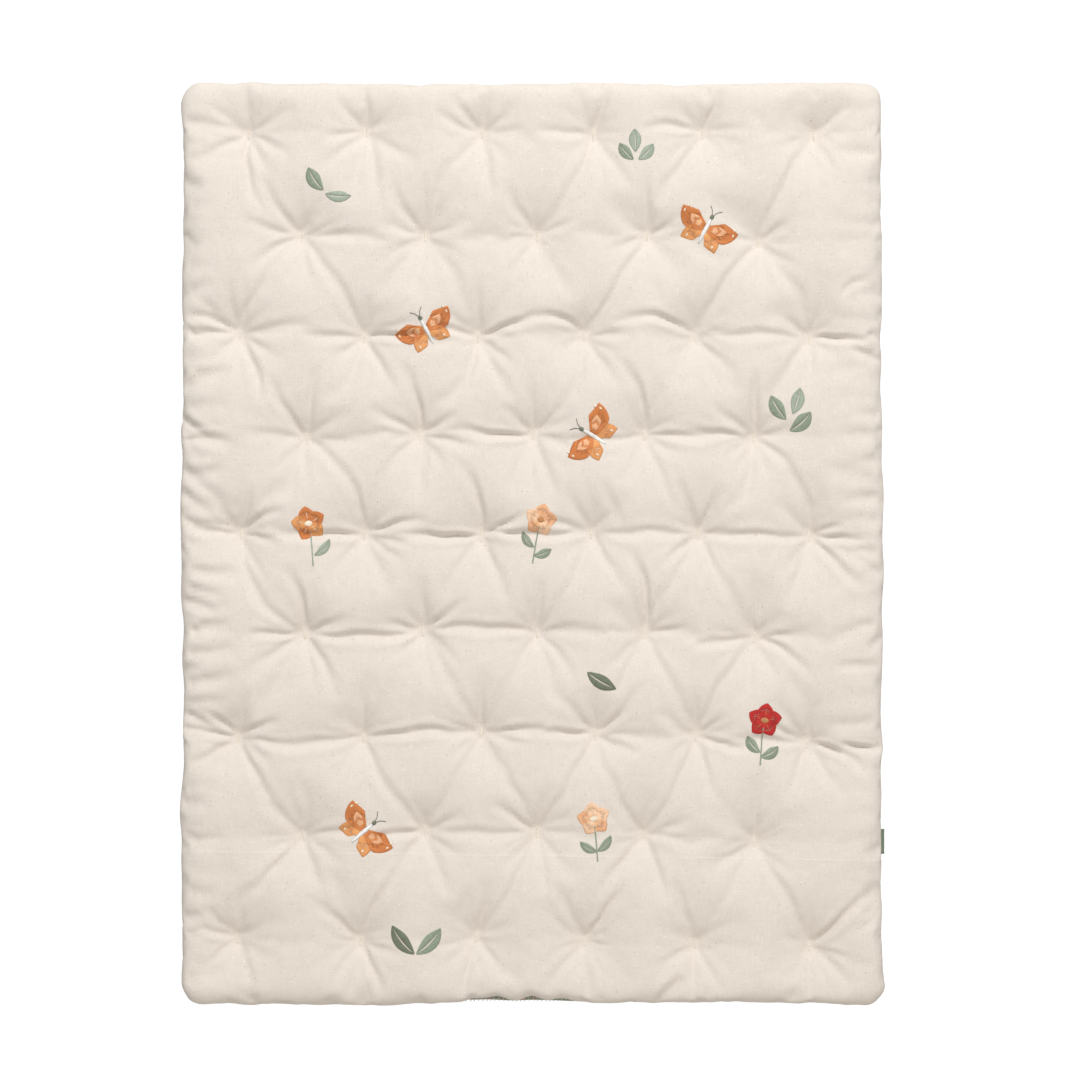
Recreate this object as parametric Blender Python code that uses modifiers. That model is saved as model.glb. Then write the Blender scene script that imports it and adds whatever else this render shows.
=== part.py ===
"""Tufted baby play mat: a filled cotton quilt, tacked through at fifty points, lying flat, with a side label.

Metres, +Z up. X is the width, Y the length, and the mat's back lies on Z = 0 with its box centred on the origin.
"""

import math

import bmesh
import bpy
import numpy as np

# The mat as it lies.
WIDTH = 0.756
LENGTH = 0.998
CORNER_RADIUS = 0.024
CROWN_HEIGHT = 0.027
TACK_HEIGHT = 0.0095
PIT_REACH = 0.019

# The sewn edge: two soft lips, one of each panel, drawn in between them at the seam.
FRONT_LIP_HEIGHT = 0.0115
BACK_LIP_HEIGHT = 0.0045
SEAM_HEIGHT = 0.0080
SEAM_INSET = 0.0026
BACK_LIP_INSET = 0.0006
BACK_LIP_ROUND = 0.0085
EDGE_ROUND = 0.026

# The tacks stand in rows. The long rows use the columns, the short rows the middles between them.
TACK_COLUMNS = (-0.316, -0.183, -0.057, 0.061, 0.180, 0.303)
TACK_ROWS = (0.446, 0.334, 0.226, 0.118, 0.010, -0.098, -0.209, -0.317, -0.432)
ROW_DRIFT = (0.005, 0.0015, -0.003, -0.001, 0.0, 0.0, -0.0005, 0.0, -0.0035)

# How deep the folds run out of each tack, 0 to 9, from the left tack of the row to the right one.
FOLD_COLUMNS = ("up", "up_right", "right", "down_right", "down", "down_left", "left", "up_left")
FOLD_ROWS = (
    ("346030", "077088", "215511", "533321", "633200", "334866", "523652", "667064"),
    ("04050", "35887", "22521", "85220", "43300", "55598", "45034", "87633"),
    ("502006", "655996", "477467", "666655", "223443", "443332", "864935", "683887"),
    ("26757", "58623", "46875", "85667", "33300", "44336", "63745", "76837"),
    ("255520", "869767", "788377", "745677", "200024", "343673", "877873", "685776"),
    ("74469", "88557", "68465", "75778", "30205", "56678", "76736", "77436"),
    ("232665", "535874", "586268", "886655", "000430", "636897", "754728", "828658"),
    ("27736", "28882", "56555", "43657", "32444", "78775", "57523", "78974"),
    ("522022", "678968", "221124", "678237", "542456", "033384", "343221", "882876"),
)
FOLD_DEPTH = 0.0085
FOLD_REACH = 0.80
FOLD_WIDTH = 0.0085
FOLD_SPREAD = 0.075
EDGE_FOLD_REACH = 0.95

# Where the outline swells out or draws in, from one end of each side to the other.
WAVES = {
    "left": (0.0005, -0.0015, 0.0, -0.0012, 0.0008, 0.0018, 0.0, -0.0018, 0.0020, 0.0004, -0.0008),
    "right": (-0.0020, -0.0016, 0.0004, -0.0018, 0.0006, 0.0008, 0.0, -0.0016, -0.0010, -0.0012, 0.0016),
    "top": (0.0010, 0.0002, -0.0008, -0.0012, 0.0006, -0.0014, 0.0010, 0.0008),
    "bottom": (-0.0008, 0.0006, 0.0004, -0.0022, -0.0010, -0.0020, -0.0012, 0.0012),
}

# At the foot the front is rolled in, so that a strip of the back panel shows from above.
FOOT_ROLL_START = -0.082
FOOT_ROLL_END = 0.070
FOOT_ROLL_INSET = 0.0030
FOOT_ROLL_EASE = 0.025

# The mesh: cells from tack to tack, cells in the side margins, and lines close to the edge.
CELLS_PER_TACK = 8
MARGIN_CELLS = 3
RIM_INSETS = (0.0, 0.003, 0.010)
MARGIN_INSET = 0.022
DRIFT_FADE = 0.060
BACK_DENT = 0.0035
BACK_DENT_REACH = 0.011

# The folded label in the right side seam.
LABEL_LENGTH = 0.027
LABEL_THICKNESS = 0.0014
LABEL_OUT = 0.0034
LABEL_IN = 0.0012
LABEL_MIDDLE = -0.322

FRONT_COLOUR = (0.84, 0.77, 0.69, 1.0)
LABEL_COLOUR = (0.13, 0.17, 0.12, 1.0)


def clear_scene():
    """Removes whatever the file holds, and makes the collection for the parts."""
    for old in list(bpy.data.objects):
        bpy.data.objects.remove(old)
    parts = bpy.data.collections.new("baby_play_mat")
    bpy.context.scene.collection.children.link(parts)
    return parts


def cloth_material(name, colour, roughness):
    """A plain cloth finish."""
    material = bpy.data.materials.new(name)
    material.use_nodes = True
    shader = material.node_tree.nodes["Principled BSDF"]
    shader.inputs["Base Color"].default_value = colour
    shader.inputs["Roughness"].default_value = roughness
    shader.inputs["Metallic"].default_value = 0.0
    return material


def tack_row(row):
    """The X of each tack of a row, from the left."""
    columns = np.array(TACK_COLUMNS)
    if row % 2:
        columns = (columns[:-1] + columns[1:]) / 2
    return columns + ROW_DRIFT[row]


def all_tacks():
    """Every tack as (X, Y)."""
    return np.array([(x, TACK_ROWS[row]) for row in range(len(TACK_ROWS)) for x in tack_row(row)])


def neighbour(row, index, direction):
    """Where a fold in this direction runs to: the next tack there, or the mat's edge."""
    x, y = tack_row(row)[index], TACK_ROWS[row]
    step_up = {"up": -1, "down": 1}.get(direction.split("_")[0], 0)
    side = {"left": -1, "right": 1}.get(direction.split("_")[-1], 0)
    if not step_up:
        target = (index + side, row)
    elif side:
        target = (index + (side - 1) // 2 + (row % 2), row + step_up)
    else:
        target = (None, row)
    column, next_row = target
    if column is not None and 0 <= next_row < len(TACK_ROWS) and 0 <= column < len(tack_row(next_row)):
        return tack_row(next_row)[column], TACK_ROWS[next_row], FOLD_REACH
    pitch_x = TACK_COLUMNS[1] - TACK_COLUMNS[0]
    pitch_y = TACK_ROWS[0] - TACK_ROWS[1]
    reach_x = side * pitch_x * (0.5 if step_up else 1.0)
    reach_y = -step_up * pitch_y
    end_x = max(-WIDTH / 2, min(WIDTH / 2, x + reach_x))
    end_y = max(-LENGTH / 2, min(LENGTH / 2, y + reach_y))
    share = min(
        (end_x - x) / reach_x if reach_x else 1.0,
        (end_y - y) / reach_y if reach_y else 1.0,
    )
    return x + reach_x * share, y + reach_y * share, EDGE_FOLD_REACH


def folds():
    """Each fold as (start, unit direction, length, depth)."""
    made = []
    for row, strengths in enumerate(FOLD_ROWS):
        for direction, digits in zip(FOLD_COLUMNS, strengths):
            for index, digit in enumerate(digits):
                if digit == "0":
                    continue
                start = np.array((tack_row(row)[index], TACK_ROWS[row]))
                end_x, end_y, reach = neighbour(row, index, direction)
                span = np.array((end_x, end_y)) - start
                length = float(np.linalg.norm(span))
                made.append((start, span / length, length * reach, FOLD_DEPTH * int(digit) / 9))
    return made


def fold_depth(points):
    """How far the folds sink the front at each point. Where folds meet, the deeper one leads."""
    power = 3.0
    total = np.zeros(len(points))
    for start, direction, length, depth in folds():
        away = points - start
        along = away @ direction
        aside = away @ np.array((-direction[1], direction[0]))
        share = np.clip(along / length, 0.0, 1.0)
        fade = (1 - share**2) ** 1.2 * (along > -1e-6)
        width = FOLD_WIDTH + FOLD_SPREAD * np.clip(along, 0.0, length)
        total += (depth * fade / np.cosh(aside / width)) ** power
    return total ** (1 / power)


def tack_distance(points):
    """From each point to the nearest tack."""
    tacks = all_tacks()
    return np.sqrt(((points[:, None, :] - tacks[None, :, :]) ** 2).sum(axis=2)).min(axis=1)


def front_height(points, insets):
    """The front: a crowned filling, pulled down at the tacks and along the folds, rounded off at the edge."""
    pit = np.exp(-tack_distance(points) / PIT_REACH)
    height = CROWN_HEIGHT - (CROWN_HEIGHT - TACK_HEIGHT) * pit - fold_depth(points) * (1 - 0.6 * pit)
    height = np.maximum(height, TACK_HEIGHT)
    turn = np.clip(insets / EDGE_ROUND, 0.0, 1.0)
    return FRONT_LIP_HEIGHT + (height - FRONT_LIP_HEIGHT) * np.sqrt(1 - (1 - turn) ** 2)


def back_height(points, insets):
    """The back: flat on the floor, drawn up a little at each tack, and turned up at the edge."""
    dent = BACK_DENT * np.clip(1 - tack_distance(points) / BACK_DENT_REACH, 0.0, 1.0)
    turn = np.clip(insets / BACK_LIP_ROUND, 0.0, 1.0)
    return dent + BACK_LIP_HEIGHT * (1 - np.sqrt(1 - (1 - turn) ** 2))


def side_wave(side, place):
    """The outline's swell at a place on a side, 0 to 1 from its left or top end."""
    offsets = WAVES[side]
    at = np.clip(place, 0.0, 1.0) * (len(offsets) - 1)
    low = np.minimum(at.astype(int), len(offsets) - 2)
    ease = (1 - np.cos(np.pi * (at - low))) / 2
    offsets = np.array(offsets)
    return offsets[low] * (1 - ease) + offsets[low + 1] * ease


def foot_roll(x):
    """How far the front lip is rolled in at the foot, for an X along it."""
    rise = np.clip((x - FOOT_ROLL_START) / FOOT_ROLL_EASE, 0.0, 1.0)
    fall = np.clip((FOOT_ROLL_END - x) / FOOT_ROLL_EASE, 0.0, 1.0)
    return FOOT_ROLL_INSET * (1 - np.cos(np.pi * np.minimum(rise, fall))) / 2


def lay_out(flat, extra_inset=0.0, front=True):
    """Points of the plain rectangle moved into the mat's rounded, wavy outline. Returns the points and their insets."""
    half = np.array((WIDTH, LENGTH)) / 2
    inner = half - CORNER_RADIUS
    base = np.clip(flat, -inner, inner)
    out = np.abs(flat) - inner
    reach = np.maximum(out.max(axis=1), 0.0)
    both = (out > 0).all(axis=1)
    u, v = np.maximum(out, 1e-9).T
    angle = np.where(u > v, (v / u) * math.pi / 4, math.pi / 2 - (u / v) * math.pi / 4)
    angle = np.where(both, angle, np.where(out[:, 0] > out[:, 1], 0.0, math.pi / 2))
    direction = np.stack((np.cos(angle), np.sin(angle)), axis=1) * np.sign(flat + 1e-12)
    insets = np.where(reach > 0, CORNER_RADIUS - reach, (half - np.abs(flat)).min(axis=1)) + extra_inset

    across = (flat[:, 0] + half[0]) / WIDTH
    down = (half[1] - flat[:, 1]) / LENGTH
    fade = np.clip(1 - insets / 0.05, 0.0, 1.0) ** 2
    swell_x = np.where(flat[:, 0] > 0, side_wave("right", down), side_wave("left", down))
    swell_y = np.where(flat[:, 1] > 0, side_wave("top", across), side_wave("bottom", across))
    swell_y = swell_y - (foot_roll(flat[:, 0]) * (flat[:, 1] < 0) if front else 0.0)
    near_side = np.stack((swell_x, swell_y), axis=1) * np.abs(direction) * fade[:, None]
    moved = base + direction * (reach - extra_inset * (reach > 0))[:, None] + direction * near_side
    return moved, insets


def line_places(tack_places, edge):
    """Grid lines along one axis: close to one edge, through the margin, from tack to tack, and out again."""
    first, last = tack_places[0], tack_places[-1]
    places = [-edge + inset for inset in RIM_INSETS]
    places += list(np.linspace(MARGIN_INSET - edge, first, MARGIN_CELLS + 1)[:-1])
    for a, b in zip(tack_places[:-1], tack_places[1:]):
        places += list(np.linspace(a, b, CELLS_PER_TACK + 1)[:-1])
    places += list(np.linspace(last, edge - MARGIN_INSET, MARGIN_CELLS + 1))
    places += [edge - inset for inset in reversed(RIM_INSETS)]
    return places


def tack_grid():
    """The flat grid that carries the mat. Every other row is set half a cell aside, so that the tacks
    and the straight lines between them lie on its points."""
    columns = np.array(line_places(TACK_COLUMNS, WIDTH / 2))
    rows = line_places(TACK_ROWS[::-1], LENGTH / 2)
    drifts = np.interp(rows, TACK_ROWS[::-1], ROW_DRIFT[::-1])
    rim = len(RIM_INSETS)
    first_tack_row = rim + MARGIN_CELLS
    flat = np.empty((len(rows), len(columns), 2))
    for j, y in enumerate(rows):
        line = columns.copy()
        if (j - first_tack_row) % 2 and rim < j < len(rows) - rim:
            line[rim + 1 : -rim - 1] += (columns[rim + 2 : -rim] - columns[rim + 1 : -rim - 1]) / 2
        fade = np.clip((WIDTH / 2 - np.abs(line)) / DRIFT_FADE, 0.0, 1.0)
        flat[j, :, 0] = line + drifts[j] * fade
        flat[j, :, 1] = y
    return flat


def sheet(bm, flat, height_of, front):
    """One panel: a grid moved to the mat's outline and height, its quads split along the shorter diagonal."""
    rows, columns, _ = flat.shape
    made = bmesh.ops.create_grid(bm, x_segments=columns - 1, y_segments=rows - 1, size=1.0)
    order = sorted(made["verts"], key=lambda v: (round(v.co.y, 5), round(v.co.x, 5)))
    moved, insets = lay_out(flat.reshape(-1, 2), front=front)
    heights = height_of(moved, insets)
    for vertex, (x, y), z in zip(order, moved, heights):
        vertex.co = (x, y, z)
    faces = list({face for vertex in order for face in vertex.link_faces})
    if not front:
        bmesh.ops.reverse_faces(bm, faces=faces)
    bmesh.ops.triangulate(bm, faces=faces, quad_method="SHORT_EDGE")
    return order


def border(order, shape):
    """The indices of a grid's outer points, once round."""
    rows, columns = shape
    index = np.arange(rows * columns).reshape(rows, columns)
    ring = list(index[0, :]) + list(index[1:, -1]) + list(index[-1, -2::-1]) + list(index[-2:0:-1, 0])
    return [order[i] for i in ring], ring


def quilt_mesh():
    """The whole filled mat as one closed mesh."""
    flat = tack_grid()
    bm = bmesh.new()
    front = sheet(bm, flat, front_height, True)
    back = sheet(bm, flat, back_height, False)
    front_ring, ring = border(front, flat.shape[:2])
    back_ring, _ = border(back, flat.shape[:2])
    rim = flat.reshape(-1, 2)[ring]
    seam, _ = lay_out(rim, extra_inset=SEAM_INSET, front=True)
    lip, _ = lay_out(rim, extra_inset=BACK_LIP_INSET, front=False)
    for vertex, (x, y) in zip(back_ring, lip):
        vertex.co.x, vertex.co.y = x, y

    front_edges = [edge for edge in bm.edges if edge.is_boundary and edge.verts[0] in set(front_ring)]
    made = bmesh.ops.extrude_edge_only(bm, edges=front_edges)["geom"]
    seam_verts = [item for item in made if isinstance(item, bmesh.types.BMVert)]
    for vertex in seam_verts:
        near = min(range(len(front_ring)), key=lambda i: (front_ring[i].co - vertex.co).length_squared)
        vertex.co = (*seam[near], SEAM_HEIGHT)
    open_edges = [edge for edge in bm.edges if edge.is_boundary]
    bmesh.ops.bridge_loops(bm, edges=open_edges)
    bmesh.ops.triangulate(bm, faces=[face for face in bm.faces if len(face.verts) > 3])
    bmesh.ops.recalc_face_normals(bm, faces=bm.faces)
    mesh = bpy.data.meshes.new("mat")
    bm.to_mesh(mesh)
    bm.free()
    mesh.shade_smooth()
    return mesh


def add_mat(parts):
    """The filled quilt: front, filling and back, tacked together."""
    mat = bpy.data.objects.new("mat", quilt_mesh())
    mat.data.materials.append(cloth_material("natural_cotton", FRONT_COLOUR, 0.9))
    parts.objects.link(mat)
    return mat


def add_label(parts):
    """A short tape folded double and caught in the right side seam."""
    middle = np.array([(WIDTH / 2, LABEL_MIDDLE)])
    edge_x = float(lay_out(middle)[0][0, 0])
    depth = LABEL_OUT + LABEL_IN
    bpy.ops.mesh.primitive_cube_add(size=1.0, location=(edge_x + (LABEL_OUT - LABEL_IN) / 2, LABEL_MIDDLE, SEAM_HEIGHT))
    label = bpy.context.active_object
    label.name = "label"
    label.data.name = "label"
    for vertex in label.data.vertices:
        vertex.co.x *= depth
        vertex.co.y *= LABEL_LENGTH
        vertex.co.z *= LABEL_THICKNESS
    weights = label.data.attributes.new("bevel_weight_edge", "FLOAT", "EDGE")
    for edge in label.data.edges:
        ends = [label.data.vertices[i].co for i in edge.vertices]
        if all(end.x > 0 for end in ends) and ends[0].y != ends[1].y:
            weights.data[edge.index].value = 1.0
    fold = label.modifiers.new("folded_edge", "BEVEL")
    fold.limit_method = "WEIGHT"
    fold.width = LABEL_THICKNESS * 0.45
    fold.segments = 3
    label.data.materials.append(cloth_material("green_tape", LABEL_COLOUR, 0.8))
    for collection in list(label.users_collection):
        collection.objects.unlink(label)
    parts.objects.link(label)
    return label


def centre_on_origin(pieces):
    """Slides the pieces together so that their common box is centred over the origin."""
    bpy.context.view_layer.update()
    corners = np.array([piece.matrix_world @ vertex.co for piece in pieces for vertex in piece.data.vertices])
    middle = (corners.max(axis=0) + corners.min(axis=0)) / 2
    for piece in pieces:
        piece.location.x -= middle[0]
        piece.location.y -= middle[1]


def main():
    parts = clear_scene()
    centre_on_origin([add_mat(parts), add_label(parts)])


main()
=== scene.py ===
import math
import random

import bmesh
import bpy
import numpy as np
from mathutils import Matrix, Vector
from mathutils.bvhtree import BVHTree


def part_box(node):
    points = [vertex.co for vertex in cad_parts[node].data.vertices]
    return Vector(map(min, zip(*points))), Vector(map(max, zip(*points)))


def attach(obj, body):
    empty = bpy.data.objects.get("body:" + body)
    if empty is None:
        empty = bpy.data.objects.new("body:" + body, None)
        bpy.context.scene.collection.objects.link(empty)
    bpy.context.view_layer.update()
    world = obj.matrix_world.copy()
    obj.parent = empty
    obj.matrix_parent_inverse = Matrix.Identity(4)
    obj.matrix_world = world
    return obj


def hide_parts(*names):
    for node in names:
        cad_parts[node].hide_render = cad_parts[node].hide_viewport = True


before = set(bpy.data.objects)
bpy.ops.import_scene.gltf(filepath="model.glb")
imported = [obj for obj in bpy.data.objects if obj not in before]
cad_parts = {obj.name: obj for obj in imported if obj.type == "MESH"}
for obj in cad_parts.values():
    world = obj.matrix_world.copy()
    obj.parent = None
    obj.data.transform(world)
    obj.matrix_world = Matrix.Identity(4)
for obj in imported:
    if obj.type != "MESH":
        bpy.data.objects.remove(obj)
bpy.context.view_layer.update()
matLow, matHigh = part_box("mat")
labelLow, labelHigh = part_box("label")
matCentre = (matLow + matHigh) / 2
milli = 0.001
print("frame loaded")


view = {
    "lens": 85.0,
    "sensor": 36.0,
    "across": 1.163,  # how much of the floor the picture takes in
    "aside": 0.0081,
    "up": 0.0042,
    "plane": 0.022,
}

studio = {
    "floorSize": 9.0,
    "floorDrop": 0.0002,
    "floorColour": (0.25, 0.25, 0.25, 1.0),
    "floorRoughness": 0.95,
    "glowColour": (1.0, 1.0, 1.0, 1.0),
    "floorGlow": 0.87,  # what the camera sees of it
    "floorBounce": 0.08,  # what the mat gets of it
    "worldColour": (1.0, 1.0, 1.0, 1.0),
    "worldStrength": 0.43,
}

# each softbox: its size, place, power and colour
softboxes = {
    "softboxHead": ((2.0, 1.3), (0.45, 3.95, 3.25), 207.0, (1.0, 1.0, 1.0)),
    "softboxAbove": ((1.8, 1.8), (0.2, 0.0, 3.2), 23.0, (1.0, 1.0, 1.0)),
    "softboxFoot": ((1.8, 1.2), (0.3, -2.3, 1.5), 13.0, (1.0, 0.88, 0.74)),
}


def setSockets(tree, made, sockets):
    # a socket is linked where it is given another socket, and else gets the value itself
    for name, value in sockets.items():
        if isinstance(value, bpy.types.NodeSocket):
            tree.links.new(value, made.inputs[name])
        else:
            made.inputs[name].default_value = value
    return made


def addNode(tree, kind, sockets=None, **settings):
    made = tree.nodes.new(kind)
    for name, value in settings.items():
        setattr(made, name, value)
    return setSockets(tree, made, sockets or {})


def newMaterial(name):
    material = bpy.data.materials.new(name)
    material.use_nodes = True
    tree = material.node_tree
    return material, tree, tree.nodes["Principled BSDF"]


def addObject(name, data):
    made = bpy.data.objects.new(name, data)
    bpy.context.scene.collection.objects.link(made)
    return made


def addCamera():
    data = bpy.data.cameras.new("camera")
    data.lens = view["lens"]
    data.sensor_width = view["sensor"]
    camera = addObject("camera", data)
    away = view["across"] * view["lens"] / view["sensor"]
    camera.location = (matCentre.x + view["aside"], matCentre.y + view["up"], view["plane"] + away)
    bpy.context.scene.camera = camera


def addSoftbox(name, size, place, power, colour):
    data = bpy.data.lights.new(name, "AREA")
    data.shape = "RECTANGLE"
    data.size, data.size_y = size
    data.energy = power
    data.color = colour
    light = addObject(name, data)
    light.location = place
    aim = Vector((matCentre.x, matCentre.y, 0.0)) - light.location
    light.rotation_euler = aim.to_track_quat("-Z", "Y").to_euler()


def addStudio():
    bpy.ops.mesh.primitive_plane_add(size=studio["floorSize"], location=(0.0, 0.0, -studio["floorDrop"]))
    floor = bpy.context.active_object
    floor.name = "floor"
    material, tree, shader = newMaterial("paperFloor")
    seen = addNode(tree, "ShaderNodeLightPath").outputs["Is Camera Ray"]
    ends = {"To Min": studio["floorBounce"], "To Max": studio["floorGlow"]}
    glow = addNode(tree, "ShaderNodeMapRange", {"Value": seen, **ends}).outputs["Result"]
    colours = {"Base Color": studio["floorColour"], "Emission Color": studio["glowColour"]}
    setSockets(tree, shader, {**colours, "Roughness": studio["floorRoughness"], "Emission Strength": glow})
    material.cycles.emission_sampling = "NONE"
    floor.data.materials.append(material)

    for name, values in softboxes.items():
        addSoftbox(name, *values)

    world = bpy.data.worlds.new("studio")
    world.use_nodes = True
    light = {"Color": studio["worldColour"], "Strength": studio["worldStrength"]}
    setSockets(world.node_tree, world.node_tree.nodes["Background"], light)
    bpy.context.scene.world = world
    bpy.context.scene.view_settings.view_transform = "Standard"


addCamera()
addStudio()
print("studio set")


quilt = {
    "width": 0.7575,
    "length": 0.9945,
    "tackSpread": 0.9935,
    "corner": 0.022,
    "crown": 0.0240,
    "tack": 0.0090,
    "pitReach": 0.0120,
    "pitSpread": 0.040,
    "pitShare": 0.58,
    "pitFall": 1.5,
    "pitLength": 0.004,
    "pitCalm": 0.75,
    "seamHeight": 0.0080,
    "seamInset": 0.0030,
    "lipHeight": 0.0125,
    "curlLength": 0.0060,
    "roundInset": 0.0265,
    "roundLength": 0.0345,
    "cells": (246, 318),
    "crowdStep": (0.0617, 0.1086),
    "crowding": (0.22, 0.40),
    "crowdEase": 0.03,
    "grown": 0.028,
    "foldHold": 0.45,
    "footRoll": (-0.082, 0.070),
    "footRollInset": 0.0042,
    "footRollEase": 0.022,
    "footRollWaver": 0.40,
    "outlineFade": 0.05,
    "outlineWaver": 0.0006,
    "swell": 0.00055,
    "crumple": 0.00016,
    "pucker": 0.0007,
    "puckerReach": 0.013,
    "puckerEase": 0.003,
    "puckerSharp": 0.8,
}

# sums of waves in no order: seed, shortest, longest and how many
rippleSets = {
    "swell": (3, 0.05, 0.12, 14),
    "crumple": (7, 0.018, 0.04, 18),
    "pucker": (11, 0.011, 0.030, 16),
    "sides": (13, 0.030, 0.075, 9),
    "ends": (17, 0.030, 0.075, 9),
    "footRoll": (19, 0.018, 0.050, 6),
    "back": (15, 0.05, 0.13, 12),
    "valleyDepth": (5, 0.08, 0.20, 8),
    "valleyLine": (23, 0.05, 0.11, 7),
}

# tacks, in millimetres: the rows' heights, and where each stands across and off its row
tackRows = (
    ("rowUp", "across", "off"),
    (446, (-309, -180, -55, 66, 185, 306), (0, 2, 1, -1, 0, -1)),
    (335, (-251, -117, 5, 125, 246), (0, 0, 0, 0, -7)),
    (226, (-319, -183, -59, 56, 177, 301), (2, -1, -1, 0, -1, -2)),
    (118, (-246, -122, 1, 122, 241), (-3, 1, 1, 0, -2)),
    (10, (-317, -183, -56, 64, 180, 301), (1, 0, -1, 2, 1, -1)),
    (-98, (-248, -119, 5, 122, 242), (0, 3, 1, 1, -4)),
    (-210, (-320, -184, -56, 68, 178, 299), (-1, -1, 5, 3, 1, -7)),
    (-316, (-249, -117, 5, 121, 241), (-2, 3, 2, -1, -8)),
    (-430, (-321, -187, -61, 56, 177, 301), (1, -2, 2, -2, -5, -7)),
)

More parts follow.
